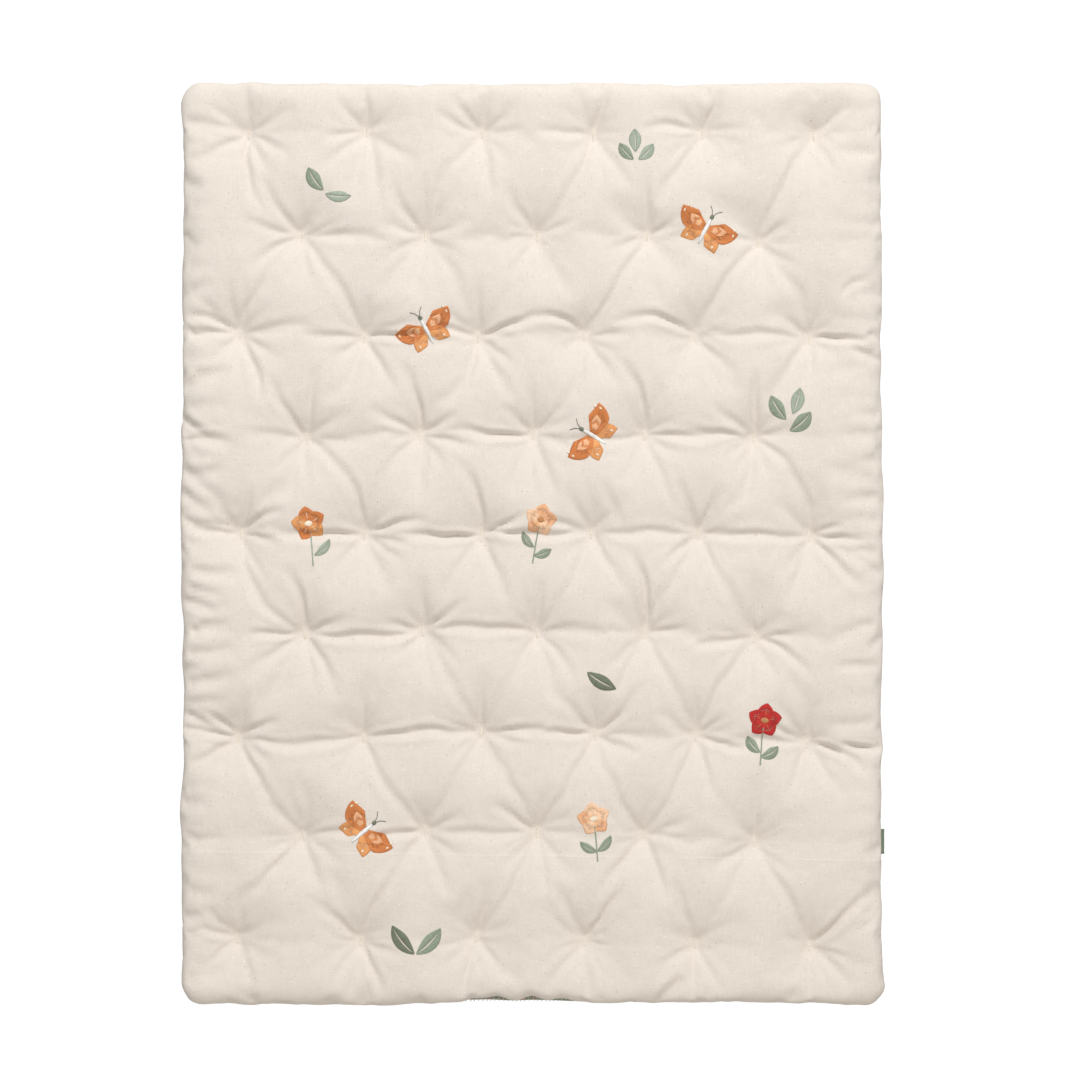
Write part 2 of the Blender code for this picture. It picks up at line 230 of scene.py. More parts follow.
# folds that run out of each tack: how far across and up they reach, in millimetres, how deep they are,
# 0 to 9, and how far they bow to their left where they do
folds = {
    "1.1": ((-48, 34, 6), (4, 41, 4), (-60, -27, 5, 2), (23, -93, 6, -11), (34, 1, 3)),
    "1.2": ((-40, 45, 6, 2), (0, 50, 4), (38, 26, 6), (-52, -2, 2), (10, -82, 4, 4), (-52, -41, 4),
            (57, -36, 3), (-18, -34, 2)),
    "1.3": ((-52, 25, 6, 4), (-36, 40, 7), (8, 46, 5), (40, 37, 6, -4), (50, 2, 4), (12, -83, 4),
            (-60, -110, 5, 7)),
    "1.4": ((16, 50, 8), (-65, 3, 5), (-61, -110, 8, 8), (47, -66, 4), (30, 2, 3)),
    "1.5": ((-29, 33, 5), (21, 47, 8), (-41, -57, 7, 2), (26, -40, 2), (50, 6, 3), (-70, 3, 6, -7)),
    "1.6": ((43, 36, 8), (-24, 20, 4), (-60, -117, 7, -4), (-45, -18, 3), (45, 1, 2)),
    "2.1": ((-40, 62, 8, 5), (12, 33, 5), (-71, 22, 4, 3), (-50, -33, 6, -4), (10, -54, 4),
            (68, -110, 8, 5), (80, 0, 4), (35, -20, 3)),
    "2.2": ((-39, 65, 7, 5), (0, 70, 4), (30, 90, 5), (41, 12, 5), (-54, 16, 4), (-41, -22, 4),
            (-66, -110, 5, -6), (16, -46, 3), (54, -110, 5, 10), (-10, -43, 3)),
    "2.3": ((40, 18, 6), (-36, 62, 6, 4), (0, -60, 3), (30, -60, 3), (-64, -110, 4, 6), (-45, -8, 3)),
    "2.4": ((-4, 74, 5), (34, 17, 6), (-28, 18, 4), (-69, -109, 9, 1), (26, -38, 3), (60, -3, 2)),
    "2.5": ((38, 27, 6), (-43, 5, 5), (-69, -103, 8, -6), (45, -3, 3), (8, -50, 3), (55, -70, 2)),
    "3.1": ((-60, 54, 5), (-61, 22, 9, -6), (-62, 5, 7), (-14, 64, 6), (38, 67, 6, 5), (81, 14, 4),
            (-35, -36, 5), (30, -79, 7, 3), (60, 2, 4)),
    "3.2": ((-5, 40, 4), (73, -1, 8, 3), (60, 20, 4), (-60, 1, 5), (-35, -25, 5), (35, -60, 8)),
    "3.3": ((-54, 16, 8), (72, 27, 8), (-48, -82, 5, 10), (41, -31, 7), (38, -72, 5), (0, 30, 5)),
    "3.4": ((-60, 17, 8, -13), (0, 40, 4), (55, 4, 4), (-56, -106, 6, 16), (38, -54, 5), (-6, -40, 4)),
    "3.5": ((120, -1, 7, 3), (-83, 17, 8, -13), (-6, -27, 3), (41, -41, 4), (0, 34, 4), (-20, -6, 4)),
    "3.6": ((-33, 27, 7), (20, 45, 4), (62, -5, 8, 2), (0, -57, 4), (-40, -60, 3)),
    "4.1": ((12, 12, 5), (-16, -41, 5), (64, -105, 8, 16), (60, -5, 3), (-43, 73, 8, 3), (14, 95, 5),
            (-70, 8, 4)),
    "4.2": ((41, 24, 8), (-57, 30, 6), (66, -14, 5), (0, -84, 3), (-60, 3, 3), (-61, -108, 5, -11),
            (-24, 83, 7, -7)),
    "4.3": ((-82, 8, 8, 4), (-32, 32, 7), (37, 35, 7), (0, 35, 5), (121, 0, 7, -6), (26, -72, 5),
            (60, -22, 4), (-30, -70, 3)),
    "4.4": ((-32, 87, 8, -10), (58, -107, 7, -6), (45, -25, 4), (-14, -38, 3), (119, 0, 8), (0, 25, 4)),
    "4.5": ((0, 75, 6), (-50, 37, 6), (-43, -9, 6), (40, 3, 5), (-18, -80, 5, 3), (60, -107, 8, 17),
            (-90, 10, 6)),
    "5.1": ((-62, 6, 9), (-38, 22, 6), (-46, 68, 5), (0, 25, 4), (50, 27, 8, 6), (41, -7, 7), (-27, -5, 5),
            (69, -108, 8, -19), (30, -60, 3)),
    "5.2": ((22, 22, 7), (67, 18, 8, 3), (52, -11, 6), (45, -30, 6), (-30, -38, 5), (-95, 2, 7),
            (0, 28, 4)),
    "5.3": ((-26, 82, 7, -10), (0, 25, 5), (53, 27, 9), (35, -80, 4), (-82, 3, 9, 2), (-36, -50, 4)),
    "5.4": ((-110, 2, 9, 2), (-60, 20, 6), (-32, 52, 5), (25, 27, 6), (116, 0, 6), (-58, -109, 7, 5),
            (41, -73, 5), (20, -60, 3)),
    "5.5": ((22, 49, 7), (-30, 74, 6), (-28, 20, 7), (119, -3, 8), (-41, -35, 7), (-40, -80, 4),
            (62, -108, 7, -3), (0, -20, 3)),
    "5.6": ((-38, 41, 5), (45, 18, 6), (76, -6, 7), (73, -73, 8), (3, -45, 4), (-25, -85, 4), (0, 25, 4)),
    "6.1": ((38, 18, 7), (-65, 2, 8), (-38, -18, 5), (129, 2, 9, -3), (35, -65, 7, 4), (-65, -40, 4),
            (-24, 78, 7, -8), (60, 24, 4)),
    "6.2": ((-2, 60, 4), (49, 37, 8), (-45, 14, 7), (-30, -30, 7), (122, -1, 8, 6), (25, -12, 5),
            (61, -107, 6), (-58, -107, 5)),
    "6.3": ((5, 60, 5), (60, 12, 4), (42, -54, 7, 5), (-61, -108, 5), (20, -70, 3), (90, 6, 3)),
    "6.4": ((-23, 98, 8, -11), (48, 7, 7), (-33, -70, 7), (56, -110, 7), (-50, 4, 3), (8, 30, 4)),
    "6.5": ((-6, 33, 8), (20, 27, 6), (-70, -7, 6), (50, 5, 5), (-64, -109, 8, -6), (-11, -60, 6),
            (61, -47, 8, 9)),
    "7.1": ((-60, 31, 9, -10), (-60, 13, 9), (50, 20, 6, 4), (136, 3, 8, -7), (-58, -34, 6),
            (71, -106, 8, -6)),
    "7.2": ((128, 5, 9, 6), (-30, -22, 4), (67, -102, 8, -6), (0, 24, 3)),
    "7.3": ((-48, 15, 7), (0, 30, 6), (75, 6, 7), (50, -12, 6), (-55, -4, 5), (-61, -107, 7, 2),
            (30, -50, 5), (18, -57, 5)),
    "7.4": ((-4, 45, 5), (-41, 46, 6), (-65, 5, 7), (-63, -107, 8, 3), (30, -23, 6), (51, 64, 8, -7),
            (60, -2, 3)),
    "7.5": ((-2, 50, 8), (33, 25, 8), (-31, 11, 6), (56, -16, 7), (-57, -108, 8, 6), (19, -70, 5)),
    "7.6": ((-49, 26, 8), (-1, 50, 6), (-60, 6, 6), (70, -40, 8, 10), (-21, -62, 6), (46, -68, 5)),
    "8.1": ((75, 13, 5), (-56, -61, 7), (3, -20, 3), (20, -60, 5), (-24, 5, 6), (-58, 52, 5), (-50, 0, 3)),
    "8.2": ((-1, 30, 7), (38, 20, 7), (120, -1, 6), (-80, -6, 6), (-38, 2, 7), (-70, -111, 8, -3),
            (29, -75, 4)),
    "8.3": ((-52, 37, 8), (-2, 25, 7), (14, -80, 4), (-66, -114, 8, 6), (50, 3, 3)),
    "8.4": ((-41, 82, 7, 6), (-22, 8, 7), (35, 2, 6), (-52, -62, 5), (27, -72, 6)),
    "8.5": ((1, 55, 7), (30, 3, 5), (-35, 45, 4), (-60, -111, 5), (60, -113, 8, 3)),
    "9.1": ((-41, 14, 8), (-44, 45, 5), (15, 17, 6), (2, -50, 4), (20, -55, 5), (40, 0, 2)),
    "9.2": ((-45, 45, 7), (2, -52, 5), (27, -58, 8), (-35, -52, 5), (-30, 3, 4), (30, 4, 4)),
    "9.3": ((16, 52, 7), (27, -33, 7), (-17, -62, 6), (-40, 0, 3)),
    "9.4": ((-33, 69, 7), (48, 69, 8), (5, -60, 4), (-28, -25, 3)),
    "9.5": ((-29, 83, 6), (-2, -58, 5), (26, -48, 5), (-30, 18, 3)),
    "9.6": ((76, 71, 8), (50, -15, 5), (49, -41, 6), (0, -55, 5), (-16, -27, 4)),
}

# folds that lie free: where they start, in millimetres from the middle, then as above
freeFolds = (
    (-382, 138, 42, -32, 9), (-378, 112, 56, -3, 9, 3), (-380, 84, 58, -48, 7), (-380, 58, 52, -36, 7),
    (-379, 26, 50, -10, 6), (-379, -59, 44, -17, 9, 2), (-378, -180, 50, -25, 9), (-378, -197, 36, -7, 8),
    (-362, -87, 42, 1, 6), (-378, 165, 24, 14, 5), (-380, -135, 28, 1, 5), (-380, -280, 34, 4, 4),
    (-378, -400, 30, -8, 5), (-376, 40, 22, -12, 4), (332, 266, 34, 16, 7, 8), (340, 212, 38, -15, 6),
    (348, -12, 27, -22, 6), (322, -131, 52, 1, 4), (331, -216, 44, -6, 8), (330, 70, 48, -2, 3),
    (356, -402, 20, 22, 5), (350, -420, 24, 22, 4), (358, -385, 18, 20, 4), (362, 228, 16, -10, 6),
    (129, -478, -48, -56, 1), (163, -466, -34, -32, 7), (-31, -234, 27, -48, 5, -6),
    (-62, -185, 30, -60, 3), (75, 70, 26, -62, 3), (-320, 250, 38, 30, 3),
)

foldShape = {
    "depth": 0.0040,
    "width": 0.0024,
    "spread": 0.024,
    "breadth": (1.5, 0.06),
    "reach": 0.055,
    "sway": 0.010,
    "swayBeat": (1.2, 2.4),
    "shoulder": 0.58,
    "shoulderPlace": 2.2,
    "shoulderWidth": 1.1,
    "lean": 0.14,
    "leanEase": 0.002,
    "fall": 1.6,
    "join": 0.013,
    "joinDip": (0.42, 0.06),
    "joinTravel": 0.020,
    "openFade": 1.3,
    "freeFade": 0.7,
    "freeTravel": 0.5,
    "rimPlace": (0.352, 0.455),
    "rimEase": 0.12,
    "rimFade": 0.9,
    "rimTravel": 0.08,
    "endEase": 0.006,
    "blend": 2.6,
    "bowlDepth": 0.0025,
    "bowlWidth": 0.0105,
    "bowlSpread": 0.10,
    "bowlFall": 1.25,
}

# the shallow valleys that run from side to side through each row of tacks, and how deep each is, 0 to 9
valleys = {
    "depths": (3.0, 3.5, 5.8, 6.6, 7.4, 7.4, 7.2, 5.0, 3.0),
    "depth": 0.0029,
    "above": 0.0095,
    "below": 0.0150,
    "soft": 0.0042,
    "sideShare": 0.45,
    "sideStart": 0.30,
    "sideEase": 0.075,
    "lineSway": 0.0007,
    "depthSway": 0.35,
    "depthRange": (0.2, 1.6),
}

smallFolds = {
    "perTack": 13,
    "turn": 0.35,
    "length": (20, 66),
    "bow": 2.5,
    "depth": (1.8, 5.6),
    "upright": 0.25,
    "edgeAlong": 470.0,
    "edgeMiddle": 260,
    "edgeOut": 378,
    "edgeStep": 22.0,
    "edgeStepRange": (0.6, 1.4),
    "edgeLength": (22, 74),
    "edgeRise": 11,
    "edgeBow": 3,
    "edgeDepth": (1.4, 6.0),
    "edgeCalm": 0.55,
    "edgeShare": 0.25,
}

# where the outline swells out or draws in, in millimetres, from one end of each side to the other
waves = {
    "left": (0.5, -1.5, 0.0, -1.2, 0.8, 1.8, 0.0, -1.8, 2.0, 0.4, -0.8),
    "right": (-2.0, -1.6, 0.4, -1.8, 0.6, 0.8, 0.0, -1.6, -1.0, -1.2, 1.6),
    "top": (1.0, 0.2, -0.8, -1.2, 0.6, -1.4, 1.0, 0.8),
    "bottom": (-0.8, 0.6, 0.4, -2.2, -1.0, -2.0, -1.2, 1.2),
}


def tackPlaces():
    places = {}
    for row, (up, across, off) in enumerate(tackRows[1:], 1):
        for column, (x, dy) in enumerate(zip(across, off), 1):
            places[f"{row}.{column}"] = np.array((x, up + dy)) * milli * quilt["tackSpread"]
    return places


tacks = tackPlaces()
tackPoints = np.array(list(tacks.values()))


def smallTackFolds():
    dice = random.Random(21)
    step = 360 / smallFolds["perTack"]
    upright = smallFolds["upright"]
    runs = []
    for name, place in tacks.items():
        turn = dice.uniform(0, 360)
        for number in range(smallFolds["perTack"]):
            off = dice.uniform(-smallFolds["turn"], smallFolds["turn"])
            angle = math.radians(turn + (number + off) * step)
            length = dice.uniform(*smallFolds["length"]) * (1 - upright + upright * abs(math.sin(angle)))
            bow = dice.uniform(-smallFolds["bow"], smallFolds["bow"])
            across, up = length * math.cos(angle), length * math.sin(angle)
            runs.append((place, (across, up, dice.uniform(*smallFolds["depth"]), bow)))
    return runs


def smallEdgeFolds():
    # gathers that run in from the long sides' seams, leaning towards the rows of tacks
    dice = random.Random(34)
    rise, bend = smallFolds["edgeRise"], smallFolds["edgeBow"]
    runs = []
    for side in (-1, 1):
        y = -smallFolds["edgeAlong"]
        while y < smallFolds["edgeAlong"]:
            start = np.array((side * (smallFolds["edgeOut"] - dice.uniform(0, 10)), y)) * milli
            across = -side * dice.uniform(*smallFolds["edgeLength"])
            up, bow = dice.uniform(-rise, rise), dice.uniform(-bend, bend)
            calm = 1.0 if abs(y) < smallFolds["edgeMiddle"] else smallFolds["edgeCalm"]
            deep = dice.uniform(*smallFolds["edgeDepth"]) * calm * (1 - smallFolds["edgeShare"] * side)
            runs.append((start, (across, up, deep, bow)))
            y += smallFolds["edgeStep"] * dice.uniform(*smallFolds["edgeStepRange"])
    return runs


def foldFade(kind, c, length, depth):
    # how deep a fold is along its run, from 0 to 1, and how far it has widened, in metres
    middle = np.sin(math.pi * c)
    if kind == "rim":
        fade = np.clip(c / foldShape["rimEase"], 0.0, 1.0) * (1 - c**2) ** foldShape["rimFade"]
        return fade, c * length + foldShape["rimTravel"]
    if kind == "free":
        return middle ** foldShape["freeFade"], np.full(len(c), foldShape["freeTravel"]) * length
    if kind == "joined":
        dip, share = foldShape["joinDip"]
        travel = np.minimum(c, 1 - c) * length + foldShape["joinTravel"] * middle
        return 1 - middle * (dip + share * (9 - depth)), travel
    return foldShape["openFade"] * (1 - c**2) ** foldShape["openFade"], c * length


def foldTrough(x, y):
    # how far the folds sink into the cloth and how far their shoulders rise out of it
    ground, ridge, bowl = (np.zeros(len(x)) for _ in range(3))
    runs = [(tacks[name], row) for name, rows in folds.items() for row in rows] + smallTackFolds()
    tied = len(runs)
    runs += [(np.array(row[:2]) * milli, row[2:]) for row in freeFolds] + smallEdgeFolds()
    power = foldShape["blend"]
    rimX, rimY = foldShape["rimPlace"]
    dice = random.Random(8)
    for number, (start, (across, up, depth, *bows)) in enumerate(runs):
        bow = bows[0] if bows else 0
        beat, phase = dice.uniform(*foldShape["swayBeat"]), dice.uniform(0, 2 * math.pi)
        span = np.array((across, up)) * milli
        length = float(np.hypot(*span))
        along = span / length
        left = np.array((-along[1], along[0]))
        reach = abs(bow) * milli + foldShape["reach"]
        middle = start + span / 2
        near = np.hypot(x - middle[0], y - middle[1]) < length / 2 + reach
        dx, dy = x[near] - start[0], y[near] - start[1]
        t = (dx * along[0] + dy * along[1]) / length
        q = dx * left[0] + dy * left[1] - 4 * bow * milli * t * (1 - t)
        c = np.clip(t, 0.0, 1.0)
        q -= foldShape["sway"] * length * np.sin(2 * math.pi * beat * c + phase) * np.sin(math.pi * c)
        if number >= tied:
            kind = "rim" if abs(start[0]) > rimX or abs(start[1]) > rimY else "free"
        else:
            joins = np.min(np.hypot(*(tackPoints - start - span).T)) < foldShape["join"]
            kind = "joined" if joins else "open"
        fade, travel = foldFade(kind, c, length, depth)
        beyond = np.maximum(np.abs(t - 0.5) - 0.5, 0.0) * length
        fade = fade * np.exp(-((beyond / foldShape["endEase"]) ** 2))
        width = foldShape["width"] + foldShape["spread"] * travel
        width = width * (foldShape["breadth"][0] - foldShape["breadth"][1] * depth)
        width = width * (1 - foldShape["lean"] * left[1] * np.tanh(q / foldShape["leanEase"]))
        r = np.abs(q) / width
        deep = foldShape["depth"] * depth / 9 * fade
        beside = (r - foldShape["shoulderPlace"]) / foldShape["shoulderWidth"]
        ground[near] += (deep * np.exp(-(r ** foldShape["fall"]))) ** power
        ridge[near] += (deep * foldShape["shoulder"] * np.exp(-(beside**2))) ** power
        wide = foldShape["bowlWidth"] + foldShape["bowlSpread"] * travel
        sunk = foldShape["bowlDepth"] * depth / 9 * fade
        bowl[near] += (sunk * np.exp(-((np.abs(q) / wide) ** foldShape["bowlFall"]))) ** power
    return ground ** (1 / power) + bowl ** (1 / power), ridge ** (1 / power)


def tackAway(x, y, tack):
    # how far points stand from a tack's short line
    return np.hypot(x - tack[0], np.maximum(np.abs(y - tack[1]) - quilt["pitLength"], 0.0))


def pitDepth(x, y):
    total = np.zeros(len(x))
    for tack in tackPoints:
        away = tackAway(x, y, tack)
        total += quilt["pitShare"] * np.exp(-away / quilt["pitReach"])
        total += (1 - quilt["pitShare"]) * np.exp(-((away / quilt["pitSpread"]) ** quilt["pitFall"]))
    return np.minimum(total, 1.0)


def rowValley(x, y):
    total = np.zeros(len(x))
    sway = 1 + valleys["depthSway"] * ripple(x, y * 0.3, *rippleSets["valleyDepth"])
    side = np.clip((np.abs(x) - valleys["sideStart"]) / valleys["sideEase"], 0.0, 1.0)
    for number, (row, deep) in enumerate(zip(tackRows[1:], valleys["depths"])):
        up, across, off = row
        line = np.interp(x, np.array(across) * milli, (up + np.array(off)) * milli * quilt["tackSpread"])
        waver = ripple(x, np.full(len(x), number * 0.31), *rippleSets["valleyLine"])
        away = y - (line + valleys["lineSway"] * waver)
        width = np.where(away > 0, valleys["above"], valleys["below"])
        bent = np.hypot(away, valleys["soft"]) - valleys["soft"]
        total += deep / 9 * np.exp(-bent / width) * (1 - (1 - valleys["sideShare"]) * side)
    return valleys["depth"] * total * np.clip(sway, *valleys["depthRange"])


def ripple(x, y, seed, shortest, longest, count):
    dice = random.Random(seed)
    total = np.zeros(len(x))
    for _ in range(count):
        turn = dice.uniform(0, math.pi)
        size = dice.uniform(shortest, longest)
        start = dice.uniform(0, 2 * math.pi)
        total += np.sin((x * math.cos(turn) + y * math.sin(turn)) * 2 * math.pi / size + start)
    return total / math.sqrt(count)


def frontHeight(x, y):
    pit = pitDepth(x, y)
    trough, ridge = foldTrough(x, y)
    height = quilt["crown"] - (quilt["crown"] - quilt["tack"]) * pit
    height -= trough * (1 - quilt["pitCalm"] * pit**2)
    height -= rowValley(x, y) * (1 - pit)
    height += ridge * (1 - pit)
    for name in ("swell", "crumple"):
        height += ripple(x, y, *rippleSets[name]) * quilt[name] * (1 - pit)
    return np.maximum(height, quilt["tack"] * 0.9)


def sideWave(side, place):
    offsets = np.array(waves[side]) * milli
    at = np.clip(place, 0.0, 1.0) * (len(offsets) - 1)
    low = np.minimum(at.astype(int), len(offsets) - 2)
    ease = (1 - np.cos(np.pi * (at - low))) / 2
    return offsets[low] * (1 - ease) + offsets[low + 1] * ease


def footRoll(x):
    start, end = quilt["footRoll"]
    rise = np.clip((x - start) / quilt["footRollEase"], 0.0, 1.0)
    fall = np.clip((end - x) / quilt["footRollEase"], 0.0, 1.0)
    waver = 1 + quilt["footRollWaver"] * ripple(x, x * 0, *rippleSets["footRoll"])
    return quilt["footRollInset"] * waver * (1 - np.cos(np.pi * np.minimum(rise, fall))) / 2


def roundedPlace(flat, edgeRun, insetOf, rolled):
    # where points of the flat cloth stand once its rim is rolled over, and how far in from the seam they lie
    half = np.array((quilt["width"], quilt["length"])) / 2
    inner = half - quilt["corner"]
    flatHalf = half + edgeRun
    flatCorner = quilt["corner"] + edgeRun
    out = np.abs(flat) - inner
    both = (out > 0).all(axis=1)
    u, v = np.maximum(out, 1e-9).T
    angle = np.where(u > v, (v / u) * math.pi / 4, math.pi / 2 - (u / v) * math.pi / 4)
    angle = np.where(both, angle, np.where(out[:, 0] > out[:, 1], 0.0, math.pi / 2))
    direction = np.stack((np.cos(angle), np.sin(angle)), axis=1) * np.sign(flat + 1e-12)
    s = (flatHalf - np.abs(flat)).min(axis=1)
    inset = insetOf(s)
    base = np.clip(flat, -inner, inner)
    reach = np.where(s < flatCorner, quilt["corner"] - inset, 0.0)
    across = (flat[:, 0] + half[0]) / quilt["width"]
    down = (half[1] - flat[:, 1]) / quilt["length"]
    fade = np.clip(1 - inset / quilt["outlineFade"], 0.0, 1.0) ** 2
    swellX = np.where(flat[:, 0] > 0, sideWave("right", down), sideWave("left", down))
    swellY = np.where(flat[:, 1] > 0, sideWave("top", across), sideWave("bottom", across))
    if rolled:
        swellY = swellY - footRoll(flat[:, 0]) * (flat[:, 1] < 0)
    waverX = ripple(flat[:, 1], np.where(flat[:, 0] > 0, 2.0, 0.0), *rippleSets["sides"])
    waverY = ripple(flat[:, 0], np.where(flat[:, 1] > 0, 2.0, 0.0), *rippleSets["ends"])
    swell = np.stack((swellX, swellY), axis=1) + np.stack((waverX, waverY), axis=1) * quilt["outlineWaver"]
    swell = swell * np.abs(direction) * fade[:, None]
    return base + direction * reach[:, None] + direction * swell, s


def rollAngles(s, curl, turn):
    # how far round the lip's curl and then round the roll each point is
    a = np.clip(s / curl, 0.0, 1.0) * math.pi / 2
    b = np.clip((s - curl) / turn, 0.0, 1.0) * math.pi / 2
    return a, b


def frontInset(s):
    curl, turn = quilt["curlLength"], quilt["roundLength"]
    a, b = rollAngles(s, curl, turn)
    inset = quilt["seamInset"] * (1 - np.sin(a)) + quilt["roundInset"] * (1 - np.cos(b))
    return inset + np.maximum(s - curl - turn, 0.0)


def frontRise(s, height):
    a, b = rollAngles(s, quilt["curlLength"], quilt["roundLength"])
    lip = quilt["seamHeight"] + (quilt["lipHeight"] - quilt["seamHeight"]) * (1 - np.cos(a))
    full = (quilt["crown"] - quilt["lipHeight"]) * np.sin(b)
    return lip + full - (quilt["crown"] - height) * np.sin(b) ** quilt["foldHold"]


def edgePucker(x, y, s):
    # small gathers that the seam's thread pulls into the cloth, deepest beside the seam
    nearSide = (quilt["width"] / 2 - np.abs(x)) < (quilt["length"] / 2 - np.abs(y))
    run = np.where(nearSide, y, x) + np.where(x + y > 0, 3.1, 0.0)
    wave = ripple(run, np.zeros(len(run)), *rippleSets["pucker"])
    wave = np.sign(wave) * np.abs(wave) ** quilt["puckerSharp"]
    ease = np.clip(s / quilt["puckerEase"], 0.0, 1.0)
    return wave * quilt["pucker"] * np.exp(-s / quilt["puckerReach"]) * ease


def crowded(axis, count):
    # places from 0 to 1 that stand closer together beside the lines of tacks
    size = quilt["length" if axis else "width"] + quilt["grown"]
    step = quilt["crowdStep"][axis]
    line = tacks["5.3"][axis] + size / 2
    t = np.linspace(0.0, 1.0, count)
    hold = np.clip(np.minimum(t, 1 - t) / quilt["crowdEase"], 0.0, 1.0)
    sway = np.sin(2 * math.pi * (t * size - line) / step)
    return t - quilt["crowding"][axis] * step / (2 * math.pi * size) * sway * hold


def evenly(cells):
    return [np.linspace(0.0, 1.0, count + 1) for count in cells]


def flatGrid(lines, edgeRun):
    x = (lines[0] * 2 - 1) * (quilt["width"] / 2 + edgeRun)
    y = (lines[1] * 2 - 1) * (quilt["length"] / 2 + edgeRun)
    gx, gy = np.meshgrid(x, y)
    return np.stack((gx.ravel(), gy.ravel()), axis=1)


def gridFaces(cells):
    across, along = cells
    index = np.arange((across + 1) * (along + 1)).reshape(along + 1, across + 1)
    quads = np.stack((index[:-1, :-1], index[:-1, 1:], index[1:, 1:], index[1:, :-1]), axis=-1)
    return quads.reshape(-1, 4)


def frontPoints(lines):
    edgeRun = quilt["curlLength"] + quilt["roundLength"] - quilt["roundInset"]
    place, s = roundedPlace(flatGrid(lines, edgeRun), edgeRun, frontInset, True)
    x, y = place[:, 0], place[:, 1]
    return np.column_stack((place, frontRise(s, frontHeight(x, y)) + edgePucker(x, y, s))), s


def makeMesh(name, points, faces):
    mesh = bpy.data.meshes.new(name)
    mesh.from_pydata(np.asarray(points).tolist(), [], faces)
    mesh.update()
    return mesh


def faceOutward(mesh):
    shape = bmesh.new()
    shape.from_mesh(mesh)
    bmesh.ops.recalc_face_normals(shape, faces=shape.faces)
    shape.to_mesh(mesh)
    shape.free()


puff = {
    "cells": (150, 200),
    "frames": 20,
    "seamHold": 0.0015,
    "pinReach": 0.0035,
    "cap": 0.0042,
}

# the cloth's own settings, by the names that the simulation has for them
puffSettings = {
    "quality": 4,
    "mass": 0.15,
    "tension_stiffness": 12.0,
    "compression_stiffness": 12.0,
    "shear_stiffness": 6.0,
    "bending_stiffness": 5.0,
    "shrink_min": -0.011,
    "use_pressure": True,
    "uniform_pressure_force": 2.0,
    "vertex_group_mass": "held",
    "pin_stiffness": 1.0,
}


def settleCloth():
    # the filling presses the cloth out between the tacks and the seam, which hold it
    start, s = frontPoints(evenly(puff["cells"]))
    mesh = makeMesh("settling", start, gridFaces(puff["cells"]).tolist())
    cloth = addObject("settling", mesh)
    tackDistance = np.min([tackAway(start[:, 0], start[:, 1], tack) for tack in tackPoints], axis=0)
    fixed = (s < puff["seamHold"]) | (tackDistance < puff["pinReach"])
    held = cloth.vertex_groups.new(name="held")
    held.add(np.flatnonzero(fixed).tolist(), 1.0, "REPLACE")
    modifier = cloth.modifiers.new("puff", "CLOTH")
    for name, value in puffSettings.items():
        setattr(modifier.settings, name, value)
    modifier.settings.effector_weights.gravity = 0.0
    modifier.collision_settings.use_collision = False
    modifier.collision_settings.use_self_collision = False
    modifier.point_cache.frame_start = 1
    modifier.point_cache.frame_end = puff["frames"]
    scene = bpy.context.scene
    for step in range(1, puff["frames"] + 1):
        scene.frame_set(step)
    depsgraph = bpy.context.evaluated_depsgraph_get()
    settled = np.empty(len(start) * 3, np.float32)
    cloth.evaluated_get(depsgraph).to_mesh().vertices.foreach_get("co", settled)
    bpy.data.objects.remove(cloth)
    bpy.data.meshes.remove(mesh)
    scene.frame_set(1)
    moved = settled.reshape(-1, 3).astype(float) - start
    far = np.maximum(np.linalg.norm(moved, axis=1), 1e-9)
    print(f"cloth moved {far.mean() / milli:.2f} mm on average, {far.max() / milli:.2f} at most")
    return moved * (puff["cap"] * np.tanh(far / puff["cap"]) / far)[:, None]


def smoothed(values, places, axis):
    # a smooth curve through evenly spaced values, read at other places from 0 to 1
    size = values.shape[axis]
    count = len(places)
    t = places * (size - 1)
    low = np.clip(t.astype(int), 0, size - 2)
    shape = [1] * values.ndim
    shape[axis] = count
    f = (t - low).reshape(shape)
    steps = (np.maximum(low - 1, 0), low, low + 1, np.minimum(low + 2, size - 1))
    a, b, c, d = (np.take(values, step, axis) for step in steps)
    return b + 0.5 * f * (c - a + f * (2 * a - 5 * b + 4 * c - d + f * (3 * (b - c) + d - a)))


def settledFront(points, lines):
    across, along = puff["cells"]
    moved = settleCloth().reshape(along + 1, across + 1, 3)
    return points + smoothed(smoothed(moved, lines[1], 0), lines[0], 1).reshape(-1, 3)


backing = {
    "cells": (112, 148),
    "lipInset": 0.0006,
    "lipHeight": 0.0045,
    "curl": 0.0045,
    "turn": 0.0130,
    "roundInset": 0.0085,
    "rest": 0.0003,
    "dent": 0.0026,
    "dentReach": 0.011,
    "dentFall": 1.3,
    "waver": 0.0005,
}


def backInset(s):
    a, b = rollAngles(s, backing["curl"], backing["turn"])
    inset = backing["lipInset"] + (quilt["seamInset"] - backing["lipInset"]) * (1 - np.sin(a))
    inset = inset + backing["roundInset"] * (1 - np.cos(b))
    return inset + np.maximum(s - backing["curl"] - backing["turn"], 0.0)


